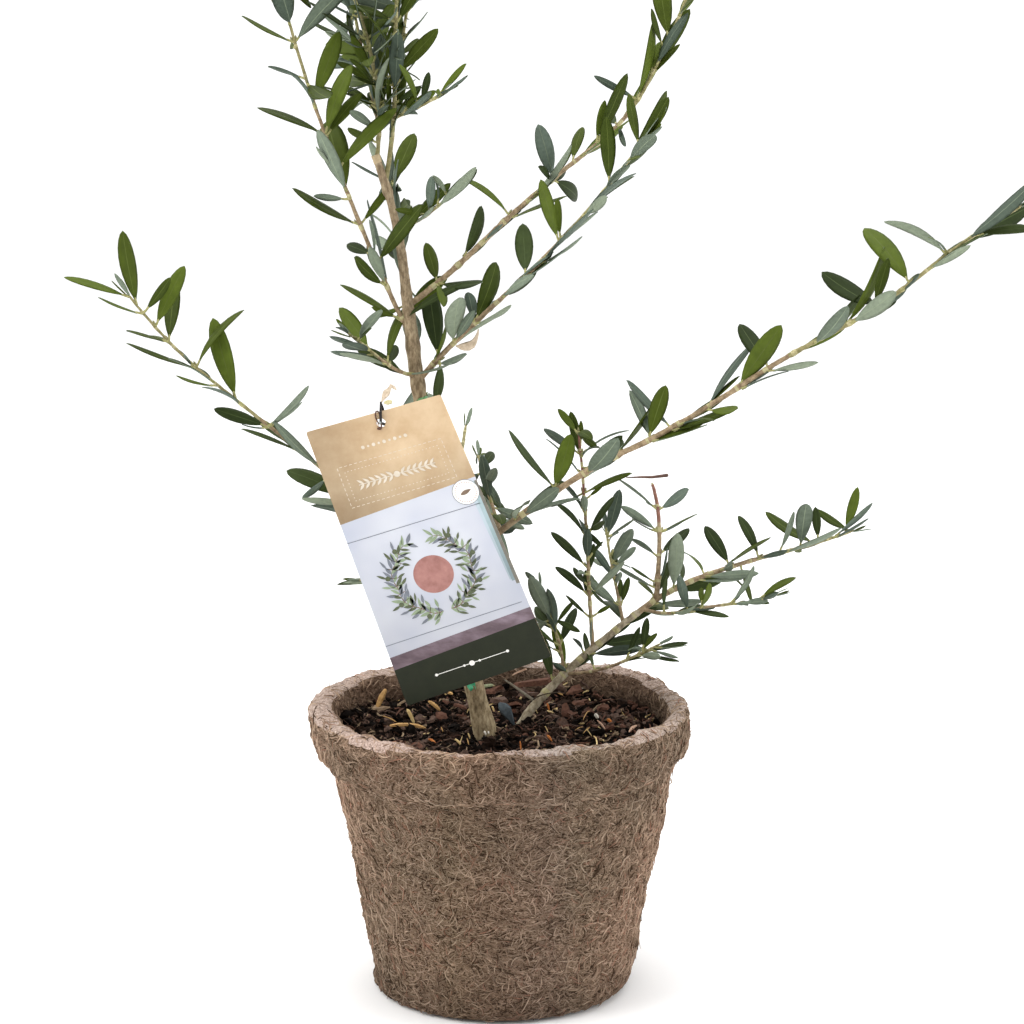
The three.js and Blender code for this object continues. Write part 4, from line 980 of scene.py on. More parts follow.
# ----------------------------------------------------------------------- bark
def limb(heap, points, radii, around, slots, relief=None, nodes=(), cap=(True, True), ring_slot=None):
    """A limb with its bark's relief. nodes are (distance, angle) of its paired leaf scars."""
    n = len(points)
    tangent = np.gradient(points, axis=0)
    tangent /= np.linalg.norm(tangent, axis=1)[:, None]
    d = np.r_[0, np.cumsum(np.linalg.norm(np.diff(points, axis=0), axis=1))]
    side = np.array([0.12, -1.0, 0.05])
    ang = np.arange(around) * TAU / around
    rows = []
    for i in range(n):
        side = unit(side - tangent[i] * (side @ tangent[i]))
        other = np.cross(tangent[i], side)
        r = np.full(around, radii[i])
        for at, a in nodes:
            g = math.exp(-((d[i] - at) / (0.55 * radii[i] + 0.9)) ** 2)
            if g > 0.01:
                r = r * (1 + (0.1 if radii[i] < 1.6 else 0.04) * g)
                for b in (a, a + math.pi):
                    r = r + (0.26 if radii[i] < 1.6 else 0.08) * radii[i] * g * np.exp(-(np.angle(np.exp(1j * (ang - b))) / 0.55) ** 2)
        ring = points[i] + r[:, None] * (np.cos(ang)[:, None] * side + np.sin(ang)[:, None] * other)
        if relief is not None:
            out = (ring - points[i]) / r[:, None]
            ring = ring + out * relief(ring, ang, d[i], radii[i])[:, None]
        rows.append(ring)
    verts = np.concatenate(rows)
    faces, which = [], []
    for i in range(n - 1):
        slot = slots(d[i], radii[i]) if callable(slots) else slots
        if ring_slot is not None and any(abs(d[i] + 0.5 * (d[1] - d[0]) - at) < 0.75 for at, a in nodes):
            slot = ring_slot
        for j in range(around):
            k = (j + 1) % around
            faces.append((i * around + j, i * around + k, (i + 1) * around + k, (i + 1) * around + j))
            which.append(slot)
    if cap[0]:
        faces.append(tuple(range(around - 1, -1, -1)))
        which.append(which[0])
    if cap[1]:
        faces.append(tuple((n - 1) * around + j for j in range(around)))
        which.append(which[-1])
    heap.add(verts, faces, which)
    return d


def sunk(points, depth=2.6):
    """The same path, begun a little below the potting mix's surface."""
    back = unit(points[0] - points[1])
    return np.vstack([points[0] + back * depth, points[0] + back * depth / 2, points])


def make_trunk():
    heap = Heap()
    pts = sunk(smooth_path(PATHS["trunk"], 0.7))
    total = TRUNK["length"]
    d = np.linspace(0, 1, len(pts))
    radii = np.array([evenly(TRUNK["radii"], t) for t in d])
    radii = np.convolve(np.pad(radii, 6, mode="edge"), np.ones(13) / 13, "valid")
    radii = radii + 0.2 * np.exp(-d * total / 4.0)
    streak, pit, knot = Field(2.6, 51), Field(1.1, 52), Field(9, 53)
    rng = np.random.default_rng(54)
    spots = [(rng.uniform(3, total), rng.uniform(0, TAU), rng.uniform(0.05, 0.16), rng.uniform(0.28, 0.6)) for _ in range(330)]

    def relief(ring, ang, at, radius):
        squeezed = ring * np.array([1, 1, 0.16])
        h = 0.075 * streak(squeezed) + 0.03 * pit(ring * np.array([1, 1, 0.45])) + 0.07 * knot(ring)
        for s, a, up, wide in spots:
            if abs(s - at) < 1.2:
                h = h + up * np.exp(-((s - at) / 0.32) ** 2 - (np.angle(np.exp(1j * (ang - a))) * radius / wide) ** 2)
        return h * (0.5 + radius / 6)

    scars = [(x, 0.4 + (k % 2) * math.pi / 2) for k, x in enumerate(np.cumsum(rng.uniform(13, 20, 11)) + 6)]
    marks = scars + [(total * q, math.pi * 0.5) for q in (0.236, 0.285, 0.615, 0.626, 0.687, 0.744, 0.875, 0.95)]
    limb(heap, pts, radii, 44, lambda at, r: 0 if at < total - 0.3 else 1, relief, marks)
    bark = procedural("olive_bark", ["453828", "7a6a50", "a69577", "c9ba9a"], 800, rough=0.82, spec=0.2, detail=9,
                      stretch=(1, 1, 0.45), bump=0.75, bump_scale=1500, distance=0.28, stops=[0.31, 0.435, 0.57, 0.71])
    warm_with_height(bark, ["84765c", "877a62", "8c7a66", "927d6a"], [0.095, 0.16, 0.225, 0.3])
    cut = procedural("cut_wood", ["b59f7c", "cbb896"], 900, rough=0.8, spec=0.2, bump=0.2)
    place(heap.build("trunk_bark", [bark, cut]), "trunk_bark", "trunk")


def warm_with_height(material, colours, heights):
    """Tints a bark: its own pattern times a colour that changes up the stem."""
    t = material.node_tree
    n, link = t.nodes, t.links
    shader = n["Principled BSDF"]
    pattern = shader.inputs["Base Color"].links[0].from_socket
    where = n.new("ShaderNodeTexCoord")
    split = n.new("ShaderNodeSeparateXYZ")
    link.new(where.outputs["Object"], split.inputs["Vector"])
    ramp = n.new("ShaderNodeValToRGB")
    low, high = heights[0], heights[-1]
    reach = n.new("ShaderNodeMapRange")
    reach.inputs["From Min"].default_value = low
    reach.inputs["From Max"].default_value = high
    link.new(split.outputs["Z"], reach.inputs["Value"])
    link.new(reach.outputs["Result"], ramp.inputs["Fac"])
    while len(ramp.color_ramp.elements) < len(colours):
        ramp.color_ramp.elements.new(0.5)
    for e, h, c in zip(ramp.color_ramp.elements, heights, colours):
        e.position = (h - low) / (high - low)
        e.color = srgb(c)
    mix = n.new("ShaderNodeMix")
    mix.data_type = "RGBA"
    mix.blend_type = "MIX"
    mix.inputs["Factor"].default_value = 0.31
    link.new(pattern, mix.inputs["A"])
    link.new(ramp.outputs["Color"], mix.inputs["B"])
    link.new(mix.outputs["Result"], shader.inputs["Base Color"])


BARE = ["leader", "left_bough", "right_bough", "low_stem", "outer_right_bough", "inner_right_bough", "upper_left_bough",
        "back_left_bough", "back_mid_bough", "back_high_bough", "low_twig_a", "low_twig_b"]


SHORT = {"back_mid": 0.84}  # a shoot drawn only this far along


def make_boughs():
    boughs, tips = Heap(), Heap()
    grain = Field(1.9, 61)

    def relief(ring, ang, at, radius):
        return 0.045 * grain(ring * np.array([1, 1, 0.35])) * min(radius, 1.5)

    for name, (parent, t, heading, rise, length, r0, r1) in SHOOTS.items():
        pts = smooth_path(PATHS[name], 1.0)
        pts = pts if parent else sunk(pts)
        share = SHORT.get(name, 1.0)
        pts = pts[:int(round(len(pts) * share))]
        n = len(pts)
        d = np.linspace(0, length * share, n)
        radii = r0 + (r1 - r0) * d / length
        rng = np.random.default_rng(len(name) * 7 + int(length))
        radii = radii * (1 + (0.22 if parent else 0.12) * np.exp(-d / (1.8 * r0 if parent else 9.0)))
        if not parent:
            radii = radii * (0.62 + 0.38 * smoothstep(d, 0, 7))
        radii[-3:] *= np.array([0.92, 0.78, 0.5])
        wander = np.cumsum(rng.normal(0, 0.02, (n, 3)), axis=0)
        wander = (wander - np.linspace(0, 1, n)[:, None] * wander[-1])
        pts = pts + wander
        style = dict(PLAIN, **STYLES[name]) if name in STYLES else None
        scars = []
        if style:
            for k, q in enumerate(bud_places(style, length)):
                if q > share:
                    continue
                scars.append((q * length, math.radians(style["phase"] + 90 * k)))
        if name in ("low_a", "low_b"):
            shade = (lambda at, r, cut=length: 1 if at < cut * 0.62 else 4)
        elif not parent:
            shade = (lambda at, r, cut=length: 5 if at < cut * 0.42 else (1 if at < cut * 0.8 else 2))
        elif name.startswith("leader"):
            shade = (lambda at, r: 0 if r > 1.3 else 2)
        else:
            shade = (lambda at, r, cut=length: 0 if r > 1.15 else (1 if at < cut * 0.6 or r > 0.9 else 2))
        limb(boughs, pts, radii, 12 if r0 > 1.2 else 9, shade, relief, scars, ring_slot=3)
    materials = [
        procedural("bough_bark", ["5d5140", "85765e", "a8997d"], 600, rough=0.78, spec=0.2, detail=7, stretch=(0.7, 0.7, 0.5), bump=0.45,
                   bump_scale=1500, distance=0.2),
        procedural("young_bark", ["685742", "8f7c61", "b09c7e"], 600, rough=0.72, spec=0.2, detail=6, bump=0.3, bump_scale=1500, distance=0.15),
        procedural("green_shoot", ["6f6b44", "898259", "a19872"], 600, rough=0.65, spec=0.22, detail=5, bump=0.25, bump_scale=1500, distance=0.12),
        procedural("node_collar", ["8f875d", "ada57c", "c0b994"], 700, rough=0.65, spec=0.22, detail=4, bump=0.25, bump_scale=1500, distance=0.12),
        procedural("dry_tip", ["6d4a3f", "93695a"], 700, rough=0.75, spec=0.2, bump=0.3, bump_scale=1500, distance=0.12),
        procedural("grey_bark", ["635949", "8a7f6a", "aca18a", "c0b69f"], 700, rough=0.8, spec=0.2, detail=7, stretch=(0.7, 0.7, 0.5), bump=0.5,
                   bump_scale=1500, distance=0.2),
    ]
    place(boughs.build("bough_bark", materials), "young_bark", *BARE)


make_trunk()
make_boughs()


# --------------------------------------------------------------------- leaves
ACROSS = (-1.0, -0.6, -0.045, 0.045, 0.6, 1.0)


def leaf_mesh(line, thick=0.3):
    """A closed blade: gull-winged across, channelled over the midrib and ribbed under it."""
    top, under = [], []
    for k, (p, d, n, w, half) in enumerate(line):
        s = STATIONS[k]
        half = max(half, 0.34 if s < 0.5 else 0.05)
        row_t, row_u = [], []
        for u in ACROSS:
            rise = half * (0.36 * abs(u) - 0.34 * u * u)
            q = p + w * half * u + n * rise
            row_t.append(q)
            edge = abs(u) == 1.0
            t = 0.0 if edge else thick * (0.7 if abs(u) > 0.3 else 1.0 + 0.7 * (1 - s))
            row_u.append(q - n * t)
        top.append(row_t)
        under.append(row_u)
    m = len(ACROSS)
    verts, faces, part = [], [], []
    for row in top:
        verts.extend(row)
    base = len(verts)
    inner = m - 2
    for row in under:
        verts.extend(row[1:-1])

    def low(k, j):
        return k * m + j if j in (0, m - 1) else base + k * inner + j - 1

    for k in range(len(line) - 1):
        for j in range(m - 1):
            faces.append((k * m + j, (k + 1) * m + j, (k + 1) * m + j + 1, k * m + j + 1))
            part.append(1 if j == 2 else 0)
        for j in range(m - 1):
            faces.append((low(k, j), low(k, j + 1), low(k + 1, j + 1), low(k + 1, j)))
            part.append(3 if j == 2 else 2)
    last = len(line) - 1
    for k, flip in ((0, False), (last, True)):
        loop = [k * m + j for j in range(m)] + [low(k, j) for j in range(m - 2, 0, -1)]
        faces.append(tuple(loop if flip is False else loop[::-1]))
        part.append(2)
    return np.array(verts), faces, part


UPPERS = ["424e17", "4f5d1f", "384414", "303b1d", "3a4625", "2b361a"]
UNDERS = ["737f6e", "5b685c", "818c78", "485448", "667262"]
RIB, LIGHT_UPPERS, LIGHT_UNDERS = len(UPPERS) + len(UNDERS), 3, (0, 2, 4)


def rib_of(part, shade, under):
    """The midrib's colour follows the blade's: light or dark, upper or under side."""
    if part == 1:
        return RIB if shade < LIGHT_UPPERS else RIB + 1
    return RIB + 2 if under - len(UPPERS) in LIGHT_UNDERS else RIB + 3


def leaf_materials():
    mats = []
    for k, c in enumerate(UPPERS):
        base = np.array(srgb(c)[:3])
        mats.append(procedural(f"leaf_upper_{k + 1}", [(*(base * 0.86), 1), (*base, 1), (*(base * 1.14), 1)], 260, rough=0.5, spec=0.08,
                               detail=3, bump=0.12, bump_scale=1800, distance=0.1, rough_range=0.05))
    for k, c in enumerate(UNDERS):
        base = np.array(srgb(c)[:3])
        mats.append(procedural(f"leaf_under_{k + 1}", [(*(base * 0.8), 1), (*(base * 1.12), 1)], 700, rough=0.7, spec=0.16, detail=4,
                               bump=0.15, bump_scale=2200, distance=0.1, rough_range=0.05))
    mats.append(procedural("rib_upper", ["4b5720", "59652c"], 400, rough=0.5, spec=0.12))
    mats.append(procedural("rib_upper_dark", ["3a4724", "485531"], 400, rough=0.5, spec=0.12))
    mats.append(procedural("rib_under", ["7c886f", "8f9a81"], 400, rough=0.6, spec=0.2))
    mats.append(procedural("rib_under_dark", ["5f6b59", "727d69"], 400, rough=0.6, spec=0.2))
    return mats


def shade_of(tone):
    return min(int(tone * 6), 5)


SPRAYS = {
    "spray_left": (["left_bough", "left_twig"], ["foliage_left_inner", "foliage_left_tip", "foliage_left_twig"]),
    "spray_upper_left": (["upper_left"], ["foliage_upper_left_low", "foliage_upper_left_high"]),
    "spray_leader": (["leader", "leader_left", "leader_right", "leader_back", "rear_left"],
                     ["foliage_leader_low", "foliage_leader_high", "foliage_leader_left", "foliage_leader_right",
                      "foliage_leader_back", "foliage_rear_left"]),
    "spray_inner_right": (["outer_right", "inner_right", "short_right"],
                          ["foliage_outer_right", "foliage_outer_right_tip", "foliage_inner_right", "foliage_inner_right_tip",
                           "foliage_short_right"]),
    "spray_right": (["right_bough", "side_twig", "tag_twig"],
                    ["foliage_right_inner", "foliage_right_middle", "foliage_right_tip", "foliage_side_twig", "foliage_tag_twig"]),
    "spray_back": (["back_left", "back_mid", "back_high"], ["foliage_back_left", "foliage_back_mid", "foliage_back_high"]),
    "spray_low": (["low_stem", "low_a", "low_b", "low_c", "low_d", "low_e", "low_f"],
                  ["foliage_low_tip", "foliage_low_a", "foliage_low_c", "foliage_low_d", "foliage_low_e", "foliage_low_f"]),
}


def make_leaves():
    mats = leaf_materials()
    stalk_mats = [
        procedural("leaf_stalk", ["8b8a56", "aaa673"], 500, rough=0.6, spec=0.22),
        procedural("bud_scale", ["77774c", "8f8b64"], 900, rough=0.6, spec=0.3),
    ]
    stalks = Heap()
    total = 0
    for piece, (shoots, nodes) in SPRAYS.items():
        heap = Heap()
        for name in shoots:
            if name not in STYLES:
                continue
            points = PATHS[name]
            length, r0, r1 = SHOOTS[name][4:7]
            share = SHORT.get(name, 1.0)
            for (t, k, style), (sit, *pair) in zip(buds_of(name), SEEDS[name]):
                if t > share:
                    continue
                roll, shift = draw_turn(sit)
                radius = r0 + (r1 - r0) * t
                at = min(max(t + shift * style["shift"] / length, 0.01), 0.998)
                ahead, n, b = frame_at(points, at)
                phi = math.radians(style["phase"] + 90 * k + roll)
                side = n * math.cos(phi) + b * math.sin(phi)
                for way, seed in zip((side, -side), pair):
                    leaf = draw_leaf(seed)
                    if leaf["keep"] < style["lost"]:
                        continue
                    foot = along(points, at)
                    line = leaf_line(foot, ahead, way, style, leaf, radius)
                    verts, faces, part = leaf_mesh(line)
                    shade = shade_of(leaf["tone"])
                    under = 6 + int(leaf["tone"] * 997) % len(UNDERS)
                    slots = [shade if q == 0 else under if q == 2 else rib_of(q, shade, under) for q in part]
                    heap.add(verts, faces, slots)
                    total += 1
                    # the stalk leaves the shoot, bends out and carries the blade
                    a = foot + way * radius * 0.35
                    c = line[0][0] + line[0][1] * 0.9
                    mid = (a + c) / 2 - ahead * 0.15
                    v, f = tube([a, (a + mid) / 2, mid, (mid + c) / 2, c], [0.6, 0.5, 0.42, 0.4, 0.34], 6)
                    stalks.add(v, f, 0)
                    # a small bud sits above each stalk
                    if style["lost"] < 0.2:
                        q = foot + way * (radius + 0.2) + ahead * 0.9
                        v, f = tube([q - ahead * 0.8, q, q + ahead * 0.6 + way * 0.2, q + ahead * 1.1 + way * 0.25], [0.25, 0.42, 0.3, 0.08], 5)
                        stalks.add(v, f, 1)
            # the growing point: two or three small upright leaves folded together
            if name in ("low_a", "low_b"):
                continue
            tip, (ahead, n, b) = along(points, share), frame_at(points, share)
            r = random.Random(len(name) * 31 + int(length))
            for q in range(3):
                way = n * math.cos(q * 2.1 + 0.6) + b * math.sin(q * 2.1 + 0.6)
                small = dict(size=r.uniform(0.28, 0.42), open=r.uniform(-26, -12) - 8, twist=r.uniform(-20, 20), bend=r.uniform(-20, 0),
                             fat=0.85, tone=r.random())
                style = dict(PLAIN, **STYLES[name])
                line = leaf_line(tip - ahead * 0.8, ahead, way, dict(style, petiole=0.3), small, 0.3)
                verts, faces, part = leaf_mesh(line, 0.22)
                shade = 1 if small["tone"] < 0.6 else 0
                heap.add(verts, faces, [shade if p == 0 else 6 if p == 2 else rib_of(p, shade, 6) for p in part])
        place(heap.build(piece, mats), "leaves", *nodes)
    place(stalks.build("leaf_stalks", stalk_mats), "young_bark")
    return total


leaf_count = make_leaves()

# ------------------------------------------------------------ label and ties
CARD = dict(thick=0.6, centre=np.array([-24.4, -30.0, 164.1]), roll=math.radians(20.4), eye=(0.85, 45.8))
# the card's corners, a little out of square, from the bottom left, anticlockwise
CORNERS = [np.array(q) for q in ((-25.7, -49.0), (26.7, -49.9), (23.0, 47.8), (-24.0, 51.6))]
CARD_X = np.array([math.cos(CARD["roll"]), 0, math.sin(CARD["roll"])])
CARD_Y = np.array([-math.sin(CARD["roll"]), 0, math.cos(CARD["roll"])])


def card_point(x, y, out=0.0):
    """A point by the card's own plane."""
    return CARD["centre"] + CARD_X * x + CARD_Y * y + np.array([0, -1.0, 0]) * out


def on_card(x, y, out=0.0):
    """A place on the print, laid out on a true rectangle of 48.5 by 98.5, on the card's real outline."""
    s, t = x / 48.5 + 0.5, y / 98.5 + 0.5
    a, b, c, d = CORNERS
    q = (a * (1 - s) + b * s) * (1 - t) + (d * (1 - s) + c * s) * t
    return card_point(q[0], q[1], CARD["thick"] / 2 + out)


def inlay(heap, outline, slot, level, flip=False):
    """A printed patch: a very thin plate on the card's face."""
    low, high = 0.012 + 0.03 * (level - 1), 0.012 + 0.03 * level
    area = sum(a[0] * b[1] - b[0] * a[1] for a, b in zip(outline, outline[1:] + outline[:1]))
    if area < 0:
        outline = outline[::-1]
    n = len(outline)
    v = [on_card(x, y, -0.01 if level == 1 else low) for x, y in outline] + [on_card(x, y, high) for x, y in outline]
    faces = [tuple(range(n, 2 * n)), tuple(range(n - 1, -1, -1))]
    faces += [(i, (i + 1) % n, n + (i + 1) % n, n + i) for i in range(n)]
    heap.add(np.array(v), faces, slot)


def band(y0, y1, x0=-24.25, x1=24.25):
    return [(x0, y0), (x1, y0), (x1, y1), (x0, y1)]


def disc(x, y, r, n=36):
    return [(x + r * math.cos(TAU * k / n), y + r * math.sin(TAU * k / n)) for k in range(n)]


def stroke(p, q, wide):
    p, q = np.array(p, float), np.array(q, float)
    d = unit(q - p)
    s = np.array([-d[1], d[0]]) * wide / 2
    return [tuple(p - s), tuple(q - s), tuple(q + s), tuple(p + s)]


def small_leaf(x, y, angle, length, wide):
    c, s = math.cos(angle), math.sin(angle)
    out = []
    for u, side in [(k / 8, 1) for k in range(9)] + [(k / 8, -1) for k in range(7, 0, -1)]:
        h = side * wide / 2 * math.sin(math.pi * u ** 0.85)
        out.append((x + c * length * u - s * h, y + s * length * u + c * h))
    return out


def dashes(heap, corners, slot, dash=1.0, gap=0.75, wide=0.28, level=2):
    for p, q in zip(corners, corners[1:] + corners[:1]):
        p, q = np.array(p, float), np.array(q, float)
        length = np.linalg.norm(q - p)
        n = max(2, int(round(length / (dash + gap))))
        d = (q - p) / length
        for k in range(n):
            a = p + d * (length * k / n)
            inlay(heap, stroke(a, a + d * length / n * dash / (dash + gap), wide), slot, level)


def graded(material, direction, low, high, dark, gain=1.0):
    """Darkens a card or its ink softly towards one side."""
    t = material.node_tree
    n, link = t.nodes, t.links
    shader = n["Principled BSDF"]
    pattern = shader.inputs["Base Color"].links[0].from_socket
    where = n.new("ShaderNodeTexCoord")
    reach = n.new("ShaderNodeVectorMath")
    reach.operation = "DOT_PRODUCT"
    reach.inputs[1].default_value = tuple(direction)
    link.new(where.outputs["Object"], reach.inputs[0])
    fall = n.new("ShaderNodeMapRange")
    fall.interpolation_type = "SMOOTHSTEP"
    for socket, value in (("From Min", low), ("From Max", high), ("To Min", dark * gain), ("To Max", gain)):
        fall.inputs[socket].default_value = value
    link.new(reach.outputs["Value"], fall.inputs["Value"])
    scale = n.new("ShaderNodeVectorMath")
    scale.operation = "SCALE"
    link.new(pattern, scale.inputs[0])
    link.new(fall.outputs["Result"], scale.inputs["Scale"])
    link.new(scale.outputs["Vector"], shader.inputs["Base Color"])


def graded_ink(material, direction, start, end, dark):
    """The same for an ink, between two places in mm measured from the card's centre."""
    zero = float(np.dot(CARD["centre"], direction)) * 0.001
    graded(material, direction, zero + start * 0.001, zero + end * 0.001, dark)
    return material


def make_label():
    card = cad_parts["hang_label"]
    kraft = procedural("kraft_card", ["bda07d", "cbb18f", "d6be9d"], 90, rough=0.82, spec=0.2, detail=7, bump=0.25, bump_scale=2600, distance=0.08)
    # darker to the left, and towards the foot of the kraft head
    for direction, start, end, dark in ((CARD_X, 0.04, 0.56, 0.68), (CARD_Y, 0.66, 0.86, 0.76)):
        along_it = [float(np.dot(direction, v.co)) for v in card.data.vertices]
        low, high = min(along_it), max(along_it)
        graded(kraft, direction, low + start * (high - low), low + end * (high - low), dark)
    card.data.materials.clear()
    card.data.materials.append(kraft)
    inks = [
        procedural("ink_pale", ["b9becd", "c6c9d3", "cfd2d9"], 40, rough=0.5, spec=0.25, detail=2, bump=0.05, bump_scale=2600, distance=0.05),
        procedural("ink_line", ["6b7079", "7d828b"], 300, rough=0.5, spec=0.3),
        procedural("ink_forest", ["202418", "272b1d"], 200, rough=0.5, spec=0.2, bump=0.05, bump_scale=2600, distance=0.05),
        procedural("ink_white", ["efece4", "fbfaf6"], 400, rough=0.55, spec=0.3),
        procedural("ink_rose", ["93655e", "a4756e", "b18279"], 260, rough=0.5, spec=0.3, detail=5),
        procedural("ink_sage", ["7f8f74", "97a588"], 500, rough=0.5, spec=0.3),
        procedural("ink_olive", ["4d5540", "5f674c"], 500, rough=0.5, spec=0.3),
        procedural("ink_plum", ["463840", "68585f", "8b7b86"], 160, rough=0.5, spec=0.3, detail=6, stretch=(0.4, 1, 1)),
        procedural("ink_teal", ["98adb0", "abbfc6"], 120, rough=0.5, spec=0.3),
        procedural("ink_twig", ["6e5c4d", "857160"], 300, rough=0.55, spec=0.3),
        procedural("ink_cream", ["cdc1ae", "dcd2c2"], 300, rough=0.55, spec=0.3),
        procedural("ink_mist", ["b3c2ca", "bccad3"], 120, rough=0.5, spec=0.3),
        procedural("ink_slate", ["5b605a", "77746b", "6a5f55"], 190, rough=0.5, spec=0.3, detail=5),
    ]
    PALE, LINE, FOREST, WHITE, ROSE, SAGE, OLIVE, PLUM, TEAL, TWIG, CREAM, MIST, SLATE = range(13)
    graded_ink(inks[PALE], CARD_X, -26, 0, 0.92)
    graded_ink(inks[PALE], CARD_Y, -30, 4, 0.87)
    graded_ink(inks[TEAL], CARD_Y, -19, 8, 0.58)
    graded_ink(inks[MIST], CARD_Y, -19, 8, 0.7)
    heap = Heap()
    inlay(heap, [(-24.25, -31.8), (24.25, -30.2), (24.25, 18.9), (-24.25, 16.3)], PALE, 1)
    inlay(heap, [(-24.25, -36.3), (24.25, -34.5), (24.25, -30.2), (-24.25, -31.8)], PLUM, 1)
    inlay(heap, [(-24.25, -36.3), (-24.25, -48.7), (-23.7, -49.25), (23.7, -49.25), (24.25, -48.7), (24.25, -34.5)], FOREST, 1)
    # a soft border of three shades down the right of the pale ground, and two fine rules
    inlay(heap, [(20.6, 11.0), (21.7, 11.0), (22.1, -19.0), (21.6, -19.0)], MIST, 2)
    inlay(heap, [(21.7, 17.4), (23.3, 17.6), (23.1, -19.6), (22.1, -19.6)], TEAL, 2)
    inlay(heap, [(23.3, 17.6), (24.25, 17.7), (24.25, -21.0), (23.1, -21.0)], SLATE, 2)
    for y in (9.6, -27.6):
        inlay(heap, band(y - 0.13, y + 0.13, -24.25, 22.3), LINE, 2)
    # a wreath of two sprays round a plain disc
    cx, cy, big = -1.0, -9.0, 13.2
    inlay(heap, disc(cx, cy, 6.6, 48), ROSE, 2)
    rng = random.Random(71)
    for way in (1, -1):
        last = None
        for k in range(25):
            a = -math.pi / 2 + way * (0.1 + k * 0.112)
            r = big + 0.5 * math.sin(k * 0.9)
            p = (cx + r * math.cos(a), cy + r * math.sin(a))
            if last:
                inlay(heap, stroke(last, p, 0.42 - 0.009 * k), TWIG, 3)
            last = p
            head = a + way * math.pi / 2
            for side in (1, -1):
                q = head + side * rng.uniform(0.5, 0.95)
                inlay(heap, small_leaf(*p, q, rng.uniform(3.0, 4.6), rng.uniform(0.85, 1.25)), rng.choice((SAGE, SAGE, OLIVE, LINE)), 4)
            # a second, looser row inside and outside the first
            if k % 2 and k < 23:
                for side, far in ((1, 1.9), (-1, -1.9)):
                    g = (cx + (r + far) * math.cos(a), cy + (r + far) * math.sin(a))
                    inlay(heap, stroke(p, g, 0.24), TWIG, 4)
                    q = head - way * side * rng.uniform(0.7, 1.5)
                    inlay(heap, small_leaf(*g, q, rng.uniform(2.6, 3.6), rng.uniform(0.75, 1.0)), rng.choice((SAGE, OLIVE, OLIVE, LINE)), 5)
            if k % 6 == 3:
                inlay(heap, disc(p[0] + 1.4 * math.cos(a), p[1] + 1.4 * math.sin(a), 0.85, 16), OLIVE, 6)
    # kraft head: a dashed frame with a plain sprig ornament and dots
    dashes(heap, [(-18.5, 20.6), (18.5, 20.6), (18.5, 34.8), (-18.5, 34.8)], CREAM, wide=0.2)
    dashes(heap, [(-16.5, 22.6), (16.5, 22.6), (16.5, 32.8), (-16.5, 32.8)], CREAM, dash=0.35, gap=0.9, wide=0.26)
    inlay(heap, stroke((-13.5, 27.4), (13.5, 27.4), 0.3), CREAM, 3)
    for k in range(-6, 7):
        if k == 0:
            continue
        way = 1 if k > 0 else -1
        for side in (1, -1):
            inlay(heap, small_leaf(k * 2.05 - way * 0.6, 27.4, (0 if way > 0 else math.pi) + side * 0.75 * way, 2.7, 0.85), CREAM, 4)
    inlay(heap, disc(0, 27.4, 1.1, 24), CREAM, 4)
    for k in range(-4, 5):
        inlay(heap, disc(k * 1.9, 39.2, 0.42 if k % 2 else 0.62, 14), CREAM, 2)
    # a plain round badge, and a plain ornament on the dark foot
    inlay(heap, disc(19.3, 14.7, 4.5, 48), LINE, 3)
    inlay(heap, disc(19.3, 14.7, 4.3, 48), WHITE, 4)
    for k in range(28):
        a = TAU * k / 28
        inlay(heap, disc(19.3 + 3.5 * math.cos(a), 14.7 + 3.5 * math.sin(a), 0.17, 8), ROSE, 5)
    inlay(heap, small_leaf(17.3, 14.2, 0.25, 4.2, 1.5), TWIG, 5)
    inlay(heap, stroke((-12, -42.4), (12, -42.4), 0.22), WHITE, 2)
    for x, r in ((-12, 0.5), (12, 0.5), (0, 0.9), (-2.6, 0.4), (2.6, 0.4)):
        inlay(heap, disc(x, -42.4, r, 20), WHITE, 3)
    place(heap.build("label_print", inks, smooth=False), "label_card")


def centripetal(points, per):
    """A closed smooth curve through the points."""
    p = [np.array(q, float) for q in points]
    n = len(p)
    out = []
    for i in range(n):
        a, b, c, d = p[i - 1], p[i], p[(i + 1) % n], p[(i + 2) % n]
        t0 = 0.0
        t1 = t0 + np.linalg.norm(b - a) ** 0.5
        t2 = t1 + np.linalg.norm(c - b) ** 0.5
        t3 = t2 + np.linalg.norm(d - c) ** 0.5
        for k in range(per):
            t = t1 + (t2 - t1) * k / per
            a1 = (t1 - t) / (t1 - t0) * a + (t - t0) / (t1 - t0) * b
            a2 = (t2 - t) / (t2 - t1) * b + (t - t1) / (t2 - t1) * c
            a3 = (t3 - t) / (t3 - t2) * c + (t - t2) / (t3 - t2) * d
            b1 = (t2 - t) / (t2 - t0) * a1 + (t - t0) / (t2 - t0) * a2
            b2 = (t3 - t) / (t3 - t1) * a2 + (t - t1) / (t3 - t1) * a3
            out.append((t2 - t) / (t2 - t1) * b1 + (t - t1) / (t2 - t1) * b2)
    return np.array(out)


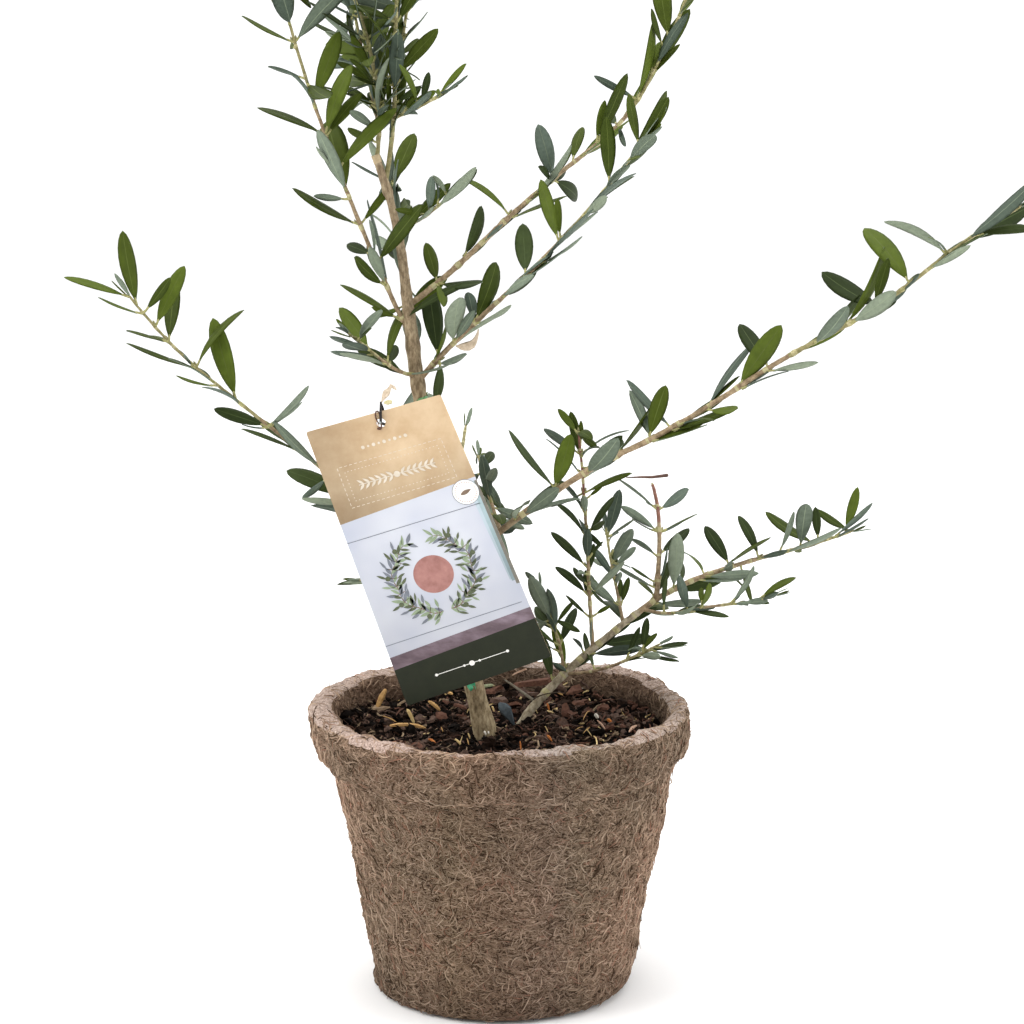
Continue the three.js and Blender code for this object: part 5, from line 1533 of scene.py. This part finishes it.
def make_wire():
    card, (ex, ey) = card_point, CARD["eye"]
    hug = along(PATHS["trunk"], 0.53)
    line = centripetal([
        card(ex, ey, 0), card(ex + 0.3, ey + 0.9, 1.1), card(ex + 1.2, ey + 3.3, 1.3), card(ex + 2.1, ey + 5.8, 0.7), card(ex + 2.35, ey + 6.5, -0.3),
        card(ex + 2.2, ey + 5.2, -1.6), card(ex + 1.8, ey + 0.6, -4.6),
        hug + (-4.6, -5.0, 1.0), hug + (-3.6, 1.4, 1.4), hug + (0.2, 4.0, 1.0), hug + (3.9, 0.6, 0), hug + (2.0, -5.4, -1.6),
        card(ex + 2.6, ey - 3.4, -8.0), card(ex + 0.5, ey - 0.9, -2.0),
    ], 14)
    heap = Heap()
    n, sides = len(line), 8
    tangent = np.roll(line, -1, 0) - np.roll(line, 1, 0)
    tangent /= np.linalg.norm(tangent, axis=1)[:, None]
    side = unit(np.cross(tangent[0], [0.1, 0.2, 1]))
    rows = []
    for i in range(n):
        side = unit(side - tangent[i] * (side @ tangent[i]))
        rows.append((side, np.cross(tangent[i], side)))
    start, end = rows[0][0], unit(rows[-1][0] - tangent[0] * (rows[-1][0] @ tangent[0]))
    miss = math.atan2(np.cross(end, start) @ tangent[0], end @ start)
    verts, faces = [], []
    for i in range(n):
        a0 = miss * i / n
        s, o = rows[i]
        for j in range(sides):
            a = a0 + TAU * j / sides
            thin = 0.5 - 0.2 * math.exp(-(np.linalg.norm(line[i] - card(ex + 2.3, ey + 6.3, 0)) / 2.6) ** 2)
            verts.append(line[i] + (s * math.cos(a) + o * math.sin(a)) * thin)
    for i in range(n):
        k = (i + 1) % n
        for j in range(sides):
            q = (j + 1) % sides
            faces.append((i * sides + j, i * sides + q, k * sides + q, k * sides + j))
    heap.add(verts, faces, 0)
    # a thin brown strand makes a slim loop beside it; a light bead and a knot sit under the loop, and a pale pinkish
    # blob beside the bead is a painted highlight
    strand = [card(ex - 0.5, ey - 0.2, 0.5), card(ex - 0.9, ey + 0.9, 0.8), card(ex - 0.9, ey + 2.6, 0.85), card(ex - 0.2, ey + 4.2, 0.85),
              card(ex + 0.55, ey + 3.9, 0.8), card(ex + 0.55, ey + 2.2, 0.8), card(ex + 0.1, ey + 0.7, 0.85), card(ex - 0.1, ey - 0.5, 0.6),
              card(ex - 0.5, ey - 1.7, 0.7), card(ex - 1.0, ey - 1.9, 0.6)]
    p, f = blob(np.random.default_rng(5), (0.5, 0.42, 0.45), 1.0, 36)
    heap.add(p + card(ex - 0.1, ey + 0.3, 1.3), f, 2)
    # painted highlight: a pale pinkish blob beside the bead
    p, f = blob(np.random.default_rng(6), (0.45, 0.4, 0.35), 1.0, 36)
    heap.add(p + card(ex - 1.2, ey - 0.1, 0.7), f, 3)
    p, f = blob(np.random.default_rng(7), (0.85, 0.5, 0.5), 1.0, 36)
    heap.add(p + card(ex - 1.1, ey - 1.4, 0.7), f, 1)
    fine = smooth_path(np.array(strand), 0.4)
    v, f = tube(fine, np.full(len(fine), 0.25), 8)
    heap.add(v, f, 1)
    coat = procedural("wire_coating", ["141211", "231f1d"], 900, rough=0.45, spec=0.3, bump=0.1)
    brown = procedural("wire_brown", ["3f2a20", "6b4a3b"], 900, rough=0.5, spec=0.3, bump=0.1)
    bead = procedural("wire_bead", ["8f9694", "b5bab8"], 900, rough=0.5, spec=0.3)
    pale = procedural("wire_painted_highlight", ["d9c3b8", "efe0d8"], 900, rough=0.6, spec=0.2)
    place(heap.build("label_wire_loop", [coat, brown, bead, pale]), "label_wire", "label_wire")


def make_ties():
    """Green tape: each tie is a torn strip that wraps part of the way round the trunk."""
    tapes = {
        "lower_tie": procedural("green_tape", ["2f9168", "46ab7e", "62bd92"], 700, rough=0.42, spec=0.4, bump=0.4, bump_scale=900, distance=0.2),
        "upper_tie": procedural("green_tape_dull", ["48794a", "5f9560", "86b57e"], 900, rough=0.5, spec=0.35, bump=0.4, bump_scale=900, distance=0.2),
    }
    crease = Field(1.6, 81)
    for node, t, half, start, end in (("lower_tie", 0.102, 1.0, -150, 150), ("upper_tie", 0.582, 1.2, -38, 260)):
        points = PATHS["trunk"]
        centre = along(points, t)
        axis = unit(along(points, t + 0.02) - along(points, t - 0.02))
        other = unit(np.cross(axis, [0, 1, 0.1]))
        front = np.cross(other, axis)
        front = front if front[1] < 0 else -front
        right = np.cross(axis, front)
        right = right if right[0] > 0 else -right
        inner = evenly(TRUNK["radii"], t)
        around, rows = 44, 9
        verts = []
        for skin in (0, 1):
            for i in range(rows):
                for j in range(around):
                    u = j / (around - 1)
                    a = math.radians(start + (end - start) * u)
                    torn = 1 - 0.25 * smoothstep(abs(u - 0.5), 0.42, 0.5)
                    h = (-half + 2 * half * i / (rows - 1)) * float(torn) * (1 + 0.1 * math.sin(5 * a + i)) + 0.3 * math.sin(a * 2)
                    if node == "lower_tie":
                        # one torn end hangs down the front
                        b = math.degrees(a)
                        hang = smoothstep(b, -36, -28) * (1 - smoothstep(b, 12, 20)) * (3.5 + 0.4 * math.sin(b * 0.6))
                        h = h - float(hang) * (1 - i / (rows - 1)) ** 0.8
                    else:
                        h = h + 0.32 * math.sin(a + 0.3)
                    d = front * math.cos(a) + right * math.sin(a)
                    p = centre + axis * h + d * (inner - 0.15 if skin == 0 else inner + (0.42 if node == "lower_tie" else 0.26))
                    verts.append(p + d * (0.14 * float(crease(p)) if skin else 0))
        m = rows * around
        faces = []
        for i in range(rows - 1):
            for j in range(around - 1):
                q = i * around + j
                faces.append((m + q, m + q + 1, m + q + around + 1, m + q + around))
                faces.append((q, q + around, q + around + 1, q + 1))
            for q, flip in ((i * around, False), (i * around + around - 1, True)):
                edge = (q, m + q, m + q + around, q + around)
                faces.append(edge[::-1] if flip else edge)
        for j in range(around - 1):
            faces.append((j, j + 1, m + j + 1, m + j))
            e = (rows - 1) * around + j
            faces.append((e + 1, e, m + e, m + e + 1))
        heap = Heap()
        heap.add(np.array(verts), faces, 0)
        place(heap.build(node + "_tape", [tapes[node]]), "tie", node)


def withered(heap, points, halves, slot, toward=(0, -0.94, 0.34), curl=0.0, thick=0.22):
    """A dry blade whose middle line goes through the points."""
    p, h = np.array(points, float), np.array(halves, float)
    d = np.r_[0, np.cumsum(np.linalg.norm(np.diff(p, axis=0), axis=1))]
    s = np.array(STATIONS) * d[-1]
    p = np.stack([np.interp(s, d, p[:, k]) for k in range(3)], 1)
    p[1:-1] = (p[:-2] + 2 * p[1:-1] + p[2:]) / 4
    h = np.interp(s, d, h)
    t = np.gradient(p, axis=0)
    line = []
    for k in range(len(p)):
        a = unit(t[k])
        n = unit(np.array(toward) - a * (a @ np.array(toward)))
        n = turn(n, a, curl * (STATIONS[k] - 0.5))
        line.append((p[k], a, n, np.cross(a, n), h[k]))
    v, f, part = leaf_mesh(line, thick)
    heap.add(v, f, [slot] * len(part))


def make_oddments():
    """Dry scraps on the plant, and the dead leaf and thin sticks at its foot."""
    dry = [
        procedural("dry_beige", ["b9a68e", "cdbba4", "dccdb8"], 900, rough=0.8, spec=0.15, bump=0.3, distance=0.1),
        procedural("dry_straw", ["c9bf8f", "dcd4aa"], 900, rough=0.75, spec=0.15, bump=0.3, distance=0.1),
        procedural("dead_leaf", ["30383d", "434c52", "545e62"], 500, rough=0.6, spec=0.25, bump=0.3, distance=0.1),
    ]
    heap = Heap()
    withered(heap, [(-39.5, -28.0, 214.0), (-38.6, -28.0, 215.9), (-37.7, -27.8, 217.3), (-36.8, -27.4, 218.5), (-36.0, -27.0, 219.9)],
             [0.12, 0.9, 1.3, 0.6, 0.5], 0, curl=0.6)
    withered(heap, [(-38.6, -28.2, 213.9), (-37.4, -28.3, 214.0), (-35.9, -28.3, 214.2)], [0.4, 0.85, 0.6], 1)
    withered(heap, [(-36.3, -27.1, 219.6), (-35.3, -26.9, 218.9), (-34.4, -26.6, 217.9)], [0.5, 0.55, 0.12], 0)
    withered(heap, [(-14.7, -10.4, 231.2), (-13.0, -10.8, 231.0), (-10.9, -11.0, 230.9), (-9.1, -10.8, 231.5), (-8.0, -10.4, 233.3), (-7.2, -10.0, 235.2),
                    (-7.0, -9.6, 236.9)], [0.2, 1.25, 1.75, 1.5, 0.8, 0.5, 0.2], 0, curl=0.5)
    withered(heap, [(-0.1, 0.9, 102.1), (1.0, 0.2, 101.2), (2.2, -0.6, 100.0), (3.8, -1.4, 97.4), (5.6, -2.1, 94.2)],
             [0.5, 1.9, 2.3, 1.3, 0.15], 2, toward=(-0.2, -0.8, 0.55), curl=0.8)
    place(heap.build("dry_scraps", dry), "leaves")
    wood = [
        procedural("stick_grey", ["5f584c", "7b7466"], 700, rough=0.8, spec=0.2, bump=0.3),
        procedural("stub_green", ["7f8766", "9aa17f"], 700, rough=0.7, spec=0.2, bump=0.2),
        procedural("stick_dark", ["3d342b", "544a3f"], 700, rough=0.8, spec=0.2, bump=0.2),
        procedural("stick_red", ["41302b", "6d544b", "8c6f62"], 260, rough=0.8, spec=0.2, bump=0.3),
    ]
    heap = Heap()
    for points, r0, r1, slot in (
        ([(13.4, 7.0, 100.4), (12.1, 8.0, 101.3), (9.2, 10.6, 102.8), (5.5, 13.8, 104.8), (1.8, 17.0, 106.6)], 0.7, 0.36, 0),
        ([(12.9, 6.6, 100.4), (12.1, 8.0, 101.0), (9.9, 11.0, 101.9), (8.2, 14.0, 102.4)], 0.34, 0.2, 2),
        ([(12.2, 3.6, 102.6), (13.4, 3.4, 103.6), (15.3, 3.2, 104.4), (17.4, 3.4, 104.9), (19.9, 4.0, 105.1), (22.4, 5.4, 104.9)], 0.3, 0.16, 2),
        ([(46.6, 42.6, 176.9), (49.5, 42.6, 176.9), (52.1, 42.6, 177.0), (56.2, 42.6, 177.0), (60.4, 42.6, 177.5), (62.2, 42.6, 177.7)], 0.2, 0.72, 3),
        ([(-8.6, -6.4, 109.4), (-5.7, -6.0, 109.9), (-4.0, -4.0, 109.7), (-2.2, -2.0, 109.4)], 0.75, 0.5, 1),
    ):
        line = smooth_path(np.array(points), 0.6)
        radii = np.linspace(r0, r1, len(line))
        radii[-2:] *= (0.85, 0.5)
        v, f = tube(line, radii, 8)
        heap.add(v, f, slot)
    place(heap.build("dry_sticks", wood), "young_bark")


make_label()
make_wire()
make_ties()
make_oddments()

# ------------------------------------------------------------ floor and light
floor_mesh = bpy.data.meshes.new("floor")
ring = [(6 * math.cos(TAU * k / 96), 6 * math.sin(TAU * k / 96), 0) for k in range(96)]
floor_mesh.from_pydata(ring, [], [tuple(range(96))])
floor = bpy.data.objects.new("floor", floor_mesh)
scene.collection.objects.link(floor)
floor.location.z = -0.0003
paper = procedural("studio_paper", [(0.965, 0.965, 0.965, 1), (0.985, 0.985, 0.985, 1)], 3, rough=0.9, spec=0.1)
floor_mesh.materials.append(paper)

world = bpy.data.worlds.new("studio")
scene.world = world
world.use_nodes = True


def darker_front(tree):
    """A white room whose front wall gives less light than its sides, back and ceiling."""
    n, link = tree.nodes, tree.links
    where = n.new("ShaderNodeTexCoord")
    toward = n.new("ShaderNodeVectorMath")
    toward.operation = "DOT_PRODUCT"
    toward.inputs[1].default_value = (0.0, -0.97, 0.24)
    link.new(where.outputs["Generated"], toward.inputs[0])
    fall = n.new("ShaderNodeMapRange")
    fall.interpolation_type = "SMOOTHSTEP"
    fall.inputs["From Min"].default_value = 0.25
    fall.inputs["From Max"].default_value = 0.9
    fall.inputs["To Min"].default_value = 1.2
    fall.inputs["To Max"].default_value = 0.62
    link.new(toward.outputs["Value"], fall.inputs["Value"])
    sky = n["Background"]
    sky.inputs["Color"].default_value = (1, 1, 1, 1)
    link.new(fall.outputs["Result"], sky.inputs["Strength"])


darker_front(world.node_tree)


def softbox(name, at, aim, size, power, colour=(1, 1, 1)):
    lamp = bpy.data.lights.new(name, "AREA")
    lamp.shape = "RECTANGLE"
    lamp.size, lamp.size_y = size
    lamp.energy = power
    lamp.color = colour
    obj = bpy.data.objects.new(name, lamp)
    scene.collection.objects.link(obj)
    obj.location = at
    d = np.array(aim) - np.array(at)
    d = d / np.linalg.norm(d)
    elev = math.acos(-d[2])
    obj.rotation_euler = (elev, 0, math.atan2(d[1], d[0]) - math.pi / 2)
    return obj


softbox("key", (-1.35, -0.7, 1.25), (0, 0, 0.18), (0.9, 0.9), 17, (1.0, 0.985, 0.96))
softbox("side", (1.6, -0.25, 0.7), (0, 0, 0.18), (0.8, 1.1), 9, (1.0, 1.0, 1.0))
softbox("top", (0.1, 0.15, 2.0), (0, 0, 0.1), (1.8, 1.8), 22, (1.0, 1.0, 1.0))
scene.view_settings.view_transform = "Standard"
scene.view_settings.look = "None"
